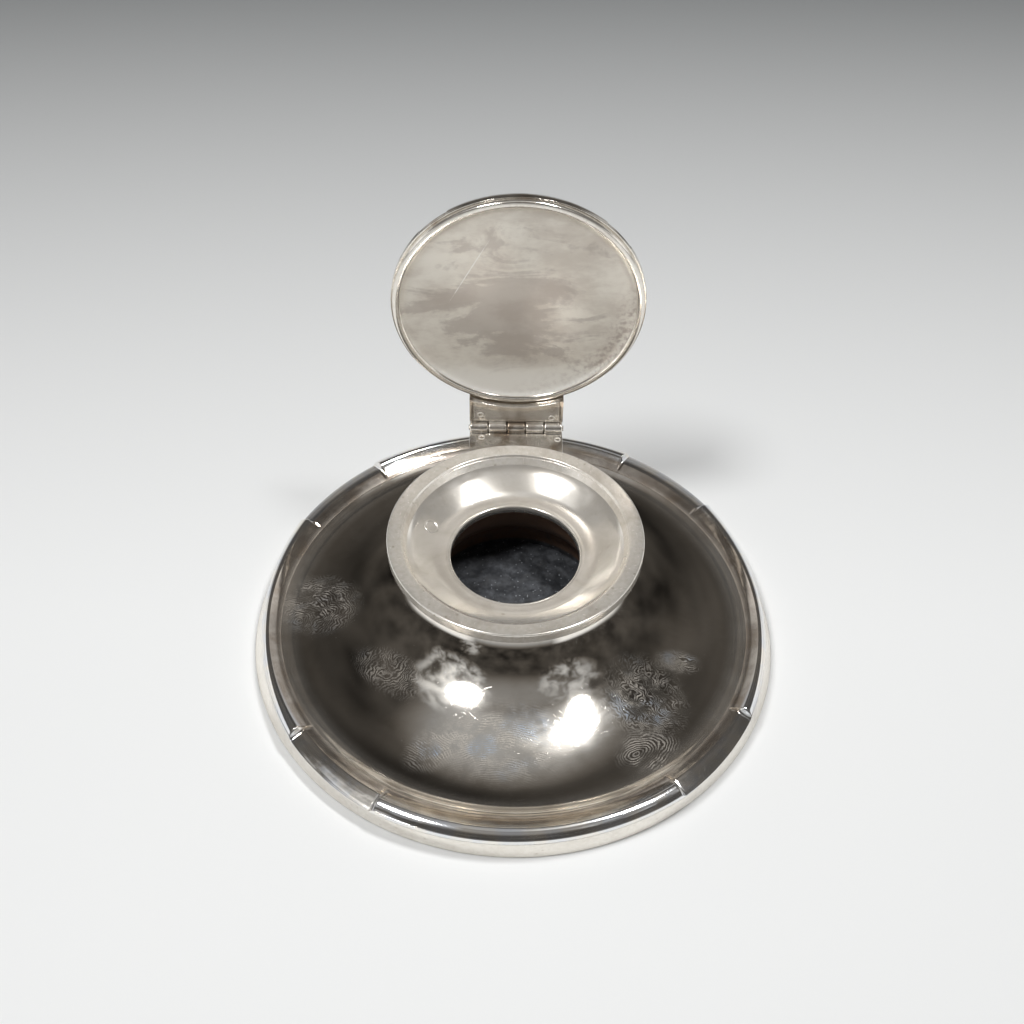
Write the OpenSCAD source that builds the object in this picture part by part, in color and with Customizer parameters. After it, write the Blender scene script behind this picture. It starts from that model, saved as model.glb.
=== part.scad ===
// Capstan inkstand with a hinged lid.
// A spun foot with a waisted neck carries a dished head, where a glass ink liner hangs.
// Millimetres, +Z up, front towards -Y, hinge towards +Y. The origin is the middle of the
// underside, and the lid is drawn closed and then swung about the hinge pin.

/* [Foot] */
// Radius of the foot where its band comes down to the table
foot_r = 75; // [74.8:0.1:76]
// Height of the flat part of the foot
foot_z = 6.1; // [5.8:0.1:6.6]
// Thickness of the spun silver sheet
sheet_t = 0.7; // [0.5:0.1:0.8]

/* [Shaped border] */
// Outer radius of the border along its short panels
border_r = 74.8; // [74.6:0.1:74.9]
// Outer radius of the border at the middle of a long side
side_r = 73.6; // [73.5:0.1:74.2]
// How far the outline is drawn out to front and back, and in at the sides
oval = 1.4; // [0:0.1:1.4]
// Turn of the border's pattern about the axis, degrees
border_turn = 3.75; // [0:0.25:8]
// Half the angle of a short panel, degrees
panel_half = 12.3; // [10:0.1:14]

/* [Neck] */
// Outer radius of the waist
waist_r = 20.6; // [20.2:0.1:21.4]
// Height of the waist
waist_z = 27.5; // [26:0.5:29]
// Squareness of the flare: 2 is an ellipse, more gives a flatter foot
flare_power = 2; // [1.8:0.1:2.6]

/* [Dish] */
// Outer radius of the dish lip
dish_r = 35.1; // [34.9:0.1:35.6]
// Height of the dish lip
dish_z = 41.1; // [41:0.1:42]
// Radius of the hole that takes the glass liner
hole_r = 17.8; // [16:0.1:18]
// Radius of the round corner between the floor of the dish and its wall
bowl_r = 6.3; // [6:0.1:6.4]

/* [Hinge] */
// Length of the hinge barrel
hinge_w = 27.2; // [26:0.1:28]
// Distance of the hinge axis behind the dish lip
hinge_back = 8.1; // [8:0.1:9]
// Radius of the hinge barrel
barrel_r = 1.9; // [1.7:0.05:1.95]
// Radius of the hinge pin
pin_r = 0.8; // [0.6:0.05:0.9]

/* [Lid] */
// Outer radius of the lid
lid_r = 34.8; // [34.6:0.1:35]
// Thickness of the lid at its edge
lid_edge = 4.9; // [4.7:0.1:5.4]
// Rise of the dome above its own seat
dome_rise = 3.2; // [2:0.1:5]
// How far the lid stands open, degrees
lid_open = 90; // [0:1:90]

/* [Hidden] */
$fn = 96;

silver = [0.80, 0.78, 0.74];
warm_silver = [0.74, 0.70, 0.64];
dark_silver = [0.36, 0.34, 0.32];

// Underside: a baize pad on a board, inside the band
baize_t = 1.2;
baize_r = foot_r - 1.6;
board_t = 2;
board_z = baize_t + board_t;
board_r = border_r - 2.6;
band_foot_z = 0.3;
band_t = 0.8;
band_bow = 1.3;
band_steps = 6;

// Foot: flat, bend, then a flange under the border
flange_z = foot_z + 0.8;
flange_r = border_r - 3.8;
toe_r = border_r - 7.9;
flat_r = toe_r - 2;
drip_t = 0.4;
drip_z = flange_z - drip_t;
neck_flare_r = 9;
fill_z = 10.5;
well_r = 25;
flare_steps = 24;
arc_steps = 10;

// Dish
floor_z = dish_z - 7.7;
hole_z = floor_z - 0.2;
bowl_z = floor_z + bowl_r;
bowl_mid_r = 23.2;
pan_under_z = floor_z - 0.9;
collar_z = hole_z - 2.2;
collar_t = 0.8;
seat_z = dish_z - 2.2;
lip_foot_z = dish_z - 3;
lip_seat_r = dish_r - 1.1;
lip_in_r = dish_r - 5.65;
plug_r = 1.7;
plug_at = 25.3;
plug_az = 159;

// Hinge: five knuckles, three on the dish and two on the lid
axis_y = dish_r + hinge_back;
axis_z = dish_z - 0.9;
knuckles = 5;
knuckle_gap = 0.2;
pin_play = 0.05;
leaf_t = 0.9;
leaf_gap = 0.3;
leaf_end_y = axis_y - barrel_r - 0.2;
bracket_y = axis_y - 2.2;
heel_y = 2.2;
heel_t = 1.6;
ledge_y = axis_y + 4;
cheek_t = 1.1;
rivet_r = 0.9;
body_rivets = [[-10, 39.3], [12.1, 38.7]];
lid_rivets = [[-10.4, 38.5], [10.3, 39.4]];

// Lid, at its closed height
rim_z = dish_z + 0.1;
lid_top_z = rim_z + lid_edge;
recess_z = rim_z + 1.2;
lining_r = lid_r - 2.6;
wall_r = lid_r - 1.4;
bezel_r = lid_r - 0.5;
border_foot_z = rim_z + 1.4;
cap_seat_z = lid_top_z - 1.2;
cap_r = wall_r - 2.5;
lid_ends_r = lid_r + 0.2;
lid_panel_half = 8;

// Play where a border or the filling meets a round wall
seam = 0.1;

// Border profiles: x runs from 0 at the inner toe to 1 at the outer edge, y is the height
// above the seat of the moulding. A long side is a broad raised roll with a hollow inner
// slope, and a short panel is low and nearly flat.
roll = [[0, 0], [0.1, 0.3], [0.22, 0.95], [0.36, 1.95], [0.46, 2.7], [0.51, 2.95], [0.56, 3.05],
        [0.7, 3], [0.86, 2.85], [0.94, 2.7], [0.98, 2.45], [1, 2], [1, -drip_t]];
panel = [[0, 0], [0.1, 0.25], [0.2, 0.6], [0.3, 0.9], [0.38, 1.05], [0.43, 1.1], [0.48, 1.08],
         [0.65, 1], [0.82, 0.85], [0.92, 0.75], [0.97, 0.6], [1, 0.3], [1, -drip_t]];
lid_roll = [[0, 2.3], [0.03, 2.7], [0.2, 3.25], [0.45, 3.4], [0.7, 3], [0.9, 2.3],
            [1, 1.3], [1, 0.4], [0.92, 0]];
lid_panel = [[0, 2.3], [0.05, 2.5], [0.25, 2.8], [0.45, 2.75], [0.68, 2.4], [0.89, 1.8],
             [0.98, 1.1], [0.98, 0.4], [0.92, 0]];
// Width of the step between a long side and a panel, degrees
step_w = 1;
// Cross-sections along a long side, a panel and a step
side_steps = 15;
panel_steps = 6;
step_steps = 3;

// The flare from the waist to the flat of the foot, offset inwards by t, from angle a0 to 90
function flare(t, a0 = 0) = [for (i = [0 : flare_steps]) let (a = a0 + (90 - a0) * i / flare_steps)
    [flat_r - (flat_r - waist_r + t) * pow(cos(a), 2 / flare_power),
     waist_z - (waist_z - foot_z + t) * pow(sin(a), 2 / flare_power)]];

// The angle of flare() at which it has spread to radius r
function flare_angle(t, r) =
    acos(pow((flat_r - r) / (flat_r - waist_r + t), flare_power / 2));

// The bend from the flat of the foot up to the flange, offset downwards by t
function bend(t) = let (run = toe_r - flat_r, rise = flange_z - foot_z,
                        r = (run * run + rise * rise) / (2 * rise), top = asin(run / r))
    [for (i = [1 : arc_steps]) let (a = top * i / arc_steps)
        [flat_r + (r + t) * sin(a), foot_z + r - (r + t) * cos(a)]];

// The neck from the waist up to the dish, offset inwards by t
function neck(t) = let (r = neck_flare_r + t, top = asin((pan_under_z - waist_z) / r))
    [for (i = [arc_steps : -1 : 1]) let (a = top * i / arc_steps)
        [waist_r + neck_flare_r - r * cos(a), waist_z + r * sin(a)]];

// The round corner of the dish, offset outwards by t, up to height z
function bowl(t, z) = let (r = bowl_r + t, top = acos((bowl_z - z) / r))
    [for (i = [0 : arc_steps]) let (a = top * i / arc_steps)
        [bowl_mid_r + r * sin(a), bowl_z - r * cos(a)]];

function reversed(list) = [for (i = [len(list) - 1 : -1 : 0]) list[i]];

module turned(points) {
    rotate_extrude() polygon(points);
}

function smooth(t) = let (c = min(max(t, 0), 1)) c * c * (3 - 2 * c);

// 0 on a long side and 1 on a panel, at u degrees from the middle of the nearest long side
function on_panel(u, side_end) = smooth((abs(u) - side_end) / step_w + 0.5);

// Outer radius of a border at u: a long side bows from mid_r out to end_r at its ends, a panel
// keeps to end_r, and the whole outline is drawn by stretch towards front and back
function outline_r(u, az, side_end, mid_r, end_r, stretch) =
    mid_r + (end_r - mid_r) * pow(min(abs(u) / side_end, 1), 2) - stretch * cos(2 * az);

// Places of the cross-sections of a border, closer together at each step: each is the
// distance u from the middle of the nearest long side, and the direction from +X
function spread(from, to, steps) = [for (i = [0 : steps - 1]) from + (to - from) * i / steps];
function stations(side_end) = let (half = step_w / 2) [for (k = [0 : 3]) for (u = concat(
        spread(-side_end + half, side_end - half, side_steps),
        spread(side_end - half, side_end + half, step_steps),
        spread(side_end + half, 90 - side_end - half, panel_steps),
        spread(90 - side_end - half, 90 - side_end + half, step_steps)))
    [u > 45 ? u - 90 : u, 90 * k + u + border_turn]];

// A section drawn as radius and height, stood up in the direction az
function stood(section, az) = [for (q = section) [q[0] * cos(az), q[0] * sin(az), q[1]]];

// One closed skin through sections that go once round the axis
module skin(sections) {
    count = len(sections);
    ring_n = len(sections[0]);
    faces = [for (j = [0 : count - 1]) for (k = [0 : ring_n - 1]) let (
            here = j * ring_n, there = ((j + 1) % count) * ring_n, next = (k + 1) % ring_n)
        each [[here + k, here + next, there + k], [there + k, here + next, there + next]]];
    polyhedron([for (section = sections) each section], faces);
}

// A border of four long sides and four short panels. Each cross-section runs over the top
// from the inner toe to the outer edge and back along the inner points, which keep their
// distance from the axis.
module shaped_ring(toe_at, mid_r, end_r, stretch, short_half, long_top, short_top, inner) {
    side_end = 45 - short_half;
    skin([for (p = stations(side_end)) let (
            edge = outline_r(p[0], p[1], side_end, mid_r, end_r, stretch),
            on = on_panel(p[0], side_end),
            top = [for (k = [0 : len(long_top) - 1]) let (
                    q = long_top[k] * (1 - on) + short_top[k] * on)
                [toe_at + (edge - toe_at) * q[0], q[1]]])
        stood(concat(top, inner), p[1])]);
}

// The outside of the band from the table up to the edge of the border, hollow-sided, with
// its wall taken off by t
function band(edge, t) = [for (i = [0 : band_steps]) let (up = i / band_steps)
    [edge - t + (foot_r - edge) * pow(1 - up, band_bow),
     band_foot_z + (drip_z - band_foot_z) * up]];

module lid_swing() {
    translate([0, axis_y, axis_z]) rotate([-lid_open, 0, 0])
        translate([0, -axis_y, -axis_z]) children();
}

// A block across the hinge, from y0 to y1 and from z0 to z1
module across(width, y0, y1, z0, z1) {
    translate([-width / 2, y0, z0]) cube([width, y1 - y0, z1 - z0]);
}

// A round clearance about the main axis, from z0 to z1
module round_cut(r, z0, z1) {
    translate([0, 0, z0]) cylinder(r = r, h = z1 - z0);
}

// Knuckles first, first + 2 and so on, each joined to its leaf between y0 and the barrel
module knuckle_row(first, z0, z1) {
    pitch = hinge_w / knuckles;
    for (k = [first : 2 : knuckles - 1])
        translate([-hinge_w / 2 + k * pitch + knuckle_gap / 2, 0, 0]) {
            translate([0, axis_y, axis_z]) rotate([0, 90, 0])
                cylinder(r = barrel_r, h = pitch - knuckle_gap);
            translate([0, leaf_end_y - 0.5, z0])
                cube([pitch - knuckle_gap, axis_y - leaf_end_y - 0.7, z1 - z0]);
        }
}

module pin_bore(r) {
    translate([-hinge_w, axis_y, axis_z]) rotate([0, 90, 0])
        cylinder(r = r, h = 2 * hinge_w);
}

module rivets(places, z0, z1) {
    for (p = places) translate([p[0], p[1], z0]) cylinder(r = rivet_r, h = z1 - z0);
}

module baize_pad() {
    color([0.20, 0.24, 0.22]) cylinder(r = baize_r, h = baize_t);
}

module base_board() {
    color([0.45, 0.33, 0.22]) translate([0, 0, baize_t]) cylinder(r = board_r, h = board_t);
}

// The weight of the foot, cast under the shell round a former that left the ink well
module base_filling() {
    t = sheet_t + seam;
    color([0.22, 0.23, 0.26]) turned(concat(
        [[0, board_z], [board_r - 0.2, board_z], [flange_r + 0.4, (board_z + drip_z) / 2],
         [flange_r - seam, flange_z - t]],
        reversed(bend(t)), reversed(flare(t, flare_angle(t, well_r))),
        [[well_r, fill_z], [0, fill_z]]));
}

// The skirt of the foot: it leaves the table on a circle and meets the border's own outline
module base_band() {
    side_end = 45 - panel_half;
    color(silver) skin([for (p = stations(side_end)) let (
            edge = outline_r(p[0], p[1], side_end, side_r, border_r, oval))
        stood(concat(band(edge, band_t), reversed(band(edge, 0))), p[1])]);
}

// One spun sheet: neck, flare, flat foot, bend and flange
module foot_shell() {
    color(dark_silver) turned(concat(
        neck(0), flare(0), bend(0),
        [[flange_r, flange_z], [flange_r, flange_z - sheet_t]],
        reversed(bend(sheet_t)), reversed(flare(sheet_t)), reversed(neck(sheet_t))));
}

module foot_border() {
    color(silver) translate([0, 0, flange_z])
        shaped_ring(toe_r, side_r, border_r, oval, panel_half, roll, panel,
                    [[flange_r + seam, -drip_t], [flange_r + seam, 0]]);
}

// The dish: a collar round the hole, a nearly flat floor, a round corner and a flange
module dish_pan() {
    color(warm_silver) difference() {
        turned(concat(
            [[hole_r, collar_z], [hole_r, hole_z]], bowl(0, seat_z),
            [[lip_seat_r, seat_z], [lip_seat_r, lip_foot_z]],
            reversed(bowl(floor_z - pan_under_z, lip_foot_z)),
            [[hole_r + collar_t, pan_under_z], [hole_r + collar_t, collar_z]]));
        rotate([0, 0, plug_az]) translate([plug_at, 0, collar_z])
            cylinder(r = plug_r, h = dish_z - collar_z);
    }
}

// The lip: a plain band outside, a nearly flat top and a reeded step down into the dish
module dish_lip() {
    color(silver) turned([
        [lip_seat_r, seat_z], [lip_seat_r, lip_foot_z], [dish_r - 0.1, lip_foot_z],
        [dish_r, lip_foot_z + 0.2], [dish_r, dish_z - 0.35], [dish_r - 0.15, dish_z - 0.1],
        [dish_r - 0.45, dish_z], [dish_r - 3.5, dish_z - 0.25], [dish_r - 3.8, dish_z - 0.5],
        [dish_r - 4.1, dish_z - 0.7], [dish_r - 4.35, dish_z - 0.65],
        [dish_r - 4.6, dish_z - 0.55], [dish_r - 4.85, dish_z - 0.65],
        [dish_r - 5.1, dish_z - 1], [dish_r - 5.35, dish_z - 1.15],
        [lip_in_r, dish_z - 1.5], [lip_in_r, seat_z]]);
}

module dish_plug() {
    color(warm_silver) rotate([0, 0, plug_az]) translate([plug_at, 0, pan_under_z - 0.2])
        cylinder(r = plug_r, h = floor_z + 0.4 - pan_under_z + 0.2);
}

// A cast block soldered under the lip. It runs on below the barrel as the lid's stop.
module hinge_bracket() {
    color(warm_silver) difference() {
        union() {
            across(hinge_w, lip_seat_r - 6, bracket_y, axis_z - 3.3, axis_z - 1.2);
            across(hinge_w, bracket_y - 1, ledge_y, axis_z - 3.3, axis_z - 2.3);
        }
        round_cut(dish_r, lip_foot_z, dish_z);
        round_cut(lip_seat_r - 3, 0, lip_foot_z);
        rivets(body_rivets, axis_z - 2.3, dish_z);
    }
}

module hinge_leaf() {
    color(warm_silver) difference() {
        union() {
            across(hinge_w - 0.2, lip_seat_r - 6, leaf_end_y,
                   axis_z - leaf_gap - leaf_t, axis_z - leaf_gap);
            knuckle_row(0, axis_z - leaf_gap - leaf_t, axis_z - leaf_gap);
        }
        round_cut(dish_r + 0.05, 0, 2 * dish_z);
        pin_bore(pin_r);
        rivets(body_rivets, 0, dish_z);
    }
}

module hinge_leaf_rivets() {
    color(silver) rivets(body_rivets, axis_z - 2.3, axis_z - leaf_gap + 0.06);
}

module hinge_pin() {
    color(silver) translate([-hinge_w / 2 - 0.3, axis_y, axis_z]) rotate([0, 90, 0])
        cylinder(r = pin_r, h = hinge_w + 0.6);
}

// The domed top of the lid, on a flat seat inside the border
module lid_cap() {
    rise = dome_rise;
    ball_r = (cap_r * cap_r + rise * rise) / (2 * rise);
    top = asin(cap_r / ball_r);
    dome = [for (i = [arc_steps : -1 : 0]) let (a = top * i / arc_steps)
        [ball_r * sin(a), cap_seat_z - ball_r * cos(top) + ball_r * cos(a)]];
    under = [for (i = [0 : arc_steps]) let (a = top * i / arc_steps)
        [(ball_r - sheet_t) * sin(a), cap_seat_z - ball_r * cos(top) + (ball_r - sheet_t) * cos(a)]];
    color(silver) lid_swing() turned(concat(
        [[wall_r, cap_seat_z - sheet_t], [wall_r, cap_seat_z]], dome, under));
}

module lid_border() {
    color(silver) lid_swing() translate([0, 0, border_foot_z])
        shaped_ring(cap_r + 0.1, lid_r, lid_ends_r, 0, lid_panel_half, lid_roll, lid_panel,
                    [[wall_r + seam, 0], [wall_r + seam, cap_seat_z - border_foot_z]]);
}

// The plate that lines the inside of the lid, dished up at its edge
module lid_lining() {
    color(warm_silver) lid_swing() turned([
        [0, recess_z], [lining_r - 2, recess_z], [lining_r - 1, recess_z - 0.1],
        [lining_r - 0.4, recess_z - 0.3], [lining_r, recess_z - 0.6],
        [lining_r, recess_z + 0.2], [lining_r - 1, recess_z + 0.55],
        [lining_r - 2, recess_z + 0.6], [0, recess_z + 0.6]]);
}

// The rim that comes down on the dish lip, with the wall that joins lining, border and cap
module lid_bezel() {
    color(silver) lid_swing() turned([
        [lining_r, cap_seat_z - sheet_t], [lining_r, rim_z + 0.5], [lining_r + 0.2, rim_z + 0.2],
        [lining_r + 0.6, rim_z + 0.03], [lining_r + 1, rim_z], [bezel_r - 0.6, rim_z + 0.12],
        [bezel_r - 0.2, rim_z + 0.4], [bezel_r, rim_z + 0.75], [bezel_r, border_foot_z],
        [wall_r, border_foot_z], [wall_r, cap_seat_z - sheet_t]]);
}

// A cast block soldered to the lid's edge. Its heel reaches over the barrel and comes to
// rest on the lower bracket when the lid is open.
module lid_bracket() {
    leaf_top = axis_z + leaf_gap + leaf_t;
    heel_z = axis_z + 2.2;
    color(warm_silver) lid_swing() difference() {
        union() {
            across(hinge_w, lip_seat_r - 6, bracket_y, leaf_top, heel_z + heel_t);
            across(hinge_w, bracket_y - 1, axis_y + heel_y, heel_z, heel_z + heel_t);
            for (side = [-1, 1])
                translate([side * (hinge_w - cheek_t) / 2, 0, 0])
                    across(cheek_t, lip_seat_r - 6, bracket_y, axis_z + leaf_gap, leaf_top);
        }
        round_cut(dish_r + 0.2, 0, rim_z + 0.75);
        round_cut(bezel_r, rim_z + 0.7, border_foot_z);
        round_cut(lid_ends_r, border_foot_z, 2 * dish_z);
        rivets(lid_rivets, 0, leaf_top + 0.9);
    }
}

module lid_leaf() {
    color(warm_silver) lid_swing() difference() {
        union() {
            across(hinge_w - 2 * cheek_t - 0.1, lip_seat_r - 6, leaf_end_y,
                   axis_z + leaf_gap, axis_z + leaf_gap + leaf_t);
            knuckle_row(1, axis_z + leaf_gap, axis_z + leaf_gap + leaf_t);
        }
        round_cut(dish_r + 0.2, 0, 2 * dish_z);
        pin_bore(pin_r + pin_play);
        rivets(lid_rivets, 0, 2 * dish_z);
    }
}

module lid_leaf_rivets() {
    color(silver) lid_swing()
        rivets(lid_rivets, axis_z + leaf_gap - 0.06, axis_z + leaf_gap + leaf_t + 0.9);
}

baize_pad();
base_board();
base_filling();
base_band();
foot_shell();
foot_border();
dish_pan();
dish_lip();
dish_plug();
hinge_bracket();
hinge_leaf();
hinge_leaf_rivets();
hinge_pin();
lid_cap();
lid_border();
lid_lining();
lid_bezel();
lid_bracket();
lid_leaf();
lid_leaf_rivets();
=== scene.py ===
import math

import bmesh
import bpy
import numpy as np
from bpy.props import FloatProperty, FloatVectorProperty, IntProperty, PointerProperty
from mathutils import Matrix, Vector


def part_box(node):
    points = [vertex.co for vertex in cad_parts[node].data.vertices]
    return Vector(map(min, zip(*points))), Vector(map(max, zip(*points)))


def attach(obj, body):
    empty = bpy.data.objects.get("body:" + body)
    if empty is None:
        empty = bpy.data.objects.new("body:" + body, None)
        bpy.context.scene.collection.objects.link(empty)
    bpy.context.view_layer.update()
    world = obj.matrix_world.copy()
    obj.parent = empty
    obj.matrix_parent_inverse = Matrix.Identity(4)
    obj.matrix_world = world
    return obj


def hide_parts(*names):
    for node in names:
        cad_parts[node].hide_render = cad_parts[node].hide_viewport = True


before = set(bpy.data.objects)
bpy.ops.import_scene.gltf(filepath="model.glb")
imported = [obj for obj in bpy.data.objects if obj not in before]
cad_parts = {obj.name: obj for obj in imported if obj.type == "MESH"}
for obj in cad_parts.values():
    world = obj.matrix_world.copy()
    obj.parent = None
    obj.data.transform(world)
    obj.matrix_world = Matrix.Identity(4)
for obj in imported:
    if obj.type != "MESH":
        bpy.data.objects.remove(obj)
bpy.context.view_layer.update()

bl_info = {
    "name": "Capstan inkstand",
    "version": (1, 0, 0),
    "blender": (4, 5, 0),
    "location": "3D View > Sidebar > Inkstand",
    "description": "Surfaces, finishes and studio of a capstan inkstand with a hinged lid",
    "category": "Add Mesh",
}

MM = 0.001


# ---------------------------------------------------------------- sizes and colours

def length(name, description, default_mm):
    """A length property in metres, whose default is given in millimetres."""
    return FloatProperty(name=name, description=description, default=default_mm * MM,
                         min=0.0, precision=5, subtype="DISTANCE", unit="LENGTH")


def angle(name, description, default_degrees):
    """An angle property, whose default is given in degrees."""
    return FloatProperty(name=name, description=description,
                         default=math.radians(default_degrees), subtype="ANGLE", unit="ROTATION")


def number(name, description, default, low=0.0, high=1000.0):
    """A plain number property."""
    return FloatProperty(name=name, description=description, default=default, min=low, max=high)


def colour(name, description, red, green, blue):
    """A colour property, in linear light."""
    return FloatVectorProperty(name=name, description=description, default=(red, green, blue),
                               min=0.0, max=1.0, size=3, subtype="COLOR")


def reach(node, axis):
    """Highest coordinate of a solid along an axis, in millimetres."""
    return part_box(node)[1][axis] / MM


class InkstandFoot(bpy.types.PropertyGroup):
    """Sizes of the foot, its band, its border and its neck."""
    band_radius: length("Band radius", "Radius where the band meets the table",
                        reach("base_band", 0))
    border_radius: length("Border radius", "Outer radius of the border along its short panels", 74.8)
    side_radius: length("Side radius", "Outer radius of the border at the middle of a long side",
                        73.6)
    border_width: length("Border width", "Width of the border from its toe to its panels' edge", 7.9)
    oval: length("Oval", "How far the outline is drawn out to front and back", 1.4)
    flange_in: length("Flange inset", "Distance of the flange's edge inside the border's", 3.8)
    bend_run: length("Bend run", "Width of the bend between the flat foot and the border", 4.0)
    bend_rise: length("Bend rise", "Height of the bend", 0.8)
    flat_height: length("Flat height", "Height of the flat part of the foot", 6.1)
    sheet: length("Sheet", "Thickness of the spun sheet", 0.7)
    waist_radius: length("Waist radius", "Outer radius of the waist", 20.6)
    waist_height: length("Waist height", "Height of the waist", 27.5)
    neck_radius: length("Neck radius", "Radius of the neck's arc, from the waist to the dish", 9.0)
    flare_power: number("Flare power", "Squareness of the flare, 2 is an ellipse", 2.0, 1.5, 6.0)
    well_radius: length("Well radius", "Radius of the ink well in the filling", 25.0)
    well_floor: length("Well floor", "Height of the floor of the ink well", 10.5)


class InkstandBorder(bpy.types.PropertyGroup):
    """Pattern of the shaped borders: four long sides and four short panels."""
    turn: angle("Turn", "Turn of the pattern about the axis", 3.75)
    panel_half: angle("Panel half angle", "Half the angle of a short panel of the foot", 12.3)
    lid_panel_half: angle("Lid panel half angle", "Half the angle of a short panel of the lid", 8.0)
    lid_swell: length("Lid swell", "How far the ends of the lid's long sides stand out", 0.2)


class InkstandDish(bpy.types.PropertyGroup):
    """Sizes of the dished head."""
    lip_radius: length("Lip radius", "Outer radius of the dish lip", reach("dish_lip", 0))
    lip_height: length("Lip height", "Height of the dish lip", reach("dish_lip", 2))
    depth: length("Depth", "Depth of the ledge below the lip", 7.7)
    wall: length("Wall", "Thickness of the side", 0.9)
    hole_radius: length("Hole radius", "Radius of the hole for the glass liner", 17.8)
    ledge_radius: length("Ledge radius", "Radius of the flat ledge round the hole", 19.2)
    low_slope: angle("Low slope", "Slope of the side 4 mm outside the ledge", 26.0)
    high_slope: angle("High slope", "Slope of the side 8 mm outside the ledge", 31.0)
    rim_slope: angle("Rim slope", "Slope of the side where it meets the lip", 43.0)
    plug_radius: length("Plug radius", "Radius of the plug in the side of the dish", 1.7)
    plug_place: length("Plug place", "Distance of the plug from the axis", 24.7)
    plug_azimuth: angle("Plug azimuth", "Where round the dish the plug is", 161.0)


class InkstandHinge(bpy.types.PropertyGroup):
    """Sizes of the hinge."""
    width: length("Width", "Length of the hinge barrel", 27.2)
    axis_back: length("Axis back", "Distance of the hinge axis behind the dish lip", 8.1)
    axis_drop: length("Axis drop", "Depth of the hinge axis below the dish lip", 0.9)
    leaf: length("Leaf", "Thickness of a hinge leaf", 0.9)
    half_gap: length("Half gap", "Distance of a closed leaf from the axis", 0.3)
    barrel_radius: length("Barrel radius", "Radius of the hinge barrel", 1.9)
    pin_radius: length("Pin radius", "Radius of the hinge pin", 0.8)
    knuckles: IntProperty(name="Knuckles", description="Number of hinge knuckles", default=5, min=3)


class InkstandLid(bpy.types.PropertyGroup):
    """Sizes of the lid, as it lies closed."""
    radius: length("Radius", "Outer radius of the lid", 34.8)
    edge: length("Edge", "Thickness of the lid at its edge", 4.9)
    dome: length("Dome", "Rise of the domed top", 3.2)


class InkstandFinish(bpy.types.PropertyGroup):
    """Colours and roughness of the finishes."""
    silver: colour("Silver", "Clean polished silver", 0.95, 0.91, 0.84)
    tarnish: colour("Tarnish", "Warm brown tarnish in the corners", 0.46, 0.38, 0.30)
    film: colour("Film", "Grey film of old polish", 0.70, 0.65, 0.57)
    pitch: colour("Pitch", "Cast filling of the foot", 0.026, 0.028, 0.032)
    rust: colour("Rust", "Brown wall of the ink well", 0.125, 0.070, 0.042)
    baize: colour("Baize", "Cloth under the foot", 0.035, 0.055, 0.045)
    board: colour("Board", "Wood of the base board", 0.23, 0.13, 0.06)
    polish: number("Polish", "Roughness of the polished foot", 0.07, 0.0, 1.0)
    satin: number("Satin", "Roughness of the dish and the lid's inside", 0.27, 0.0, 1.0)


class InkstandStudio(bpy.types.PropertyGroup):
    """Floor, lamps and room."""
    floor: colour("Floor", "Pale floor", 0.86, 0.87, 0.87)
    floor_radius: length("Floor radius", "Radius of the floor", 3000.0)
    lamp_power: number("Lamp power", "Power of each lamp in watts", 3.6, 0.0, 1000.0)
    lamp_distance: length("Lamp distance", "Distance of the lamps from the stand", 900.0)
    camera_place: FloatVectorProperty(name="Camera place", description="Where the camera stands",
                                      default=(-0.00354, -0.25707, 0.32189), size=3,
                                      subtype="TRANSLATION", unit="LENGTH", precision=5)
    camera_pitch: angle("Camera pitch", "How far the camera looks down", 46.6144)
    camera_yaw: angle("Camera yaw", "How far the camera turns towards +X", 0.5417)
    camera_roll: angle("Camera roll", "How far the camera leans", 1.1136)
    camera_lens: number("Camera lens", "Focal length in millimetres on a 36 mm sensor", 49.22, 10.0)


GROUPS = {"inkstand_foot": InkstandFoot, "inkstand_border": InkstandBorder,
          "inkstand_dish": InkstandDish, "inkstand_hinge": InkstandHinge,
          "inkstand_lid": InkstandLid, "inkstand_finish": InkstandFinish,
          "inkstand_studio": InkstandStudio}


class Measures:
    """The values of a property group, with lengths in millimetres and angles in degrees."""

    def __init__(self, group):
        for prop in group.bl_rna.properties:
            if prop.identifier in ("rna_type", "name"):
                continue
            value = getattr(group, prop.identifier)
            if prop.type == "FLOAT" and prop.unit == "LENGTH":
                value = value / MM
            elif prop.type == "FLOAT" and prop.unit == "ROTATION":
                value = math.degrees(value)
            setattr(self, prop.identifier, value)


def measures(context):
    """Measures of every size group of the scene."""
    scene = context.scene
    return (Measures(scene.inkstand_foot), Measures(scene.inkstand_border),
            Measures(scene.inkstand_dish), Measures(scene.inkstand_hinge),
            Measures(scene.inkstand_lid))


# ---------------------------------------------------------------- curves in a plane

def sind(a):
    """Sine of an angle in degrees."""
    return np.sin(np.radians(a))


def cosd(a):
    """Cosine of an angle in degrees."""
    return np.cos(np.radians(a))


def smooth(t):
    """Smooth step: 0 below 0, 1 above 1, and 3t^2 - 2t^3 between."""
    c = np.clip(t, 0.0, 1.0)
    return c * c * (3.0 - 2.0 * c)


def joined(*parts):
    """Plane curves put end to end, without repeated points."""
    points = np.concatenate([np.asarray(p, float).reshape(-1, 2) for p in parts])
    step = np.linalg.norm(np.diff(points, axis=0), axis=1)
    return points[np.concatenate([[True], step > 1e-6])]


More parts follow.
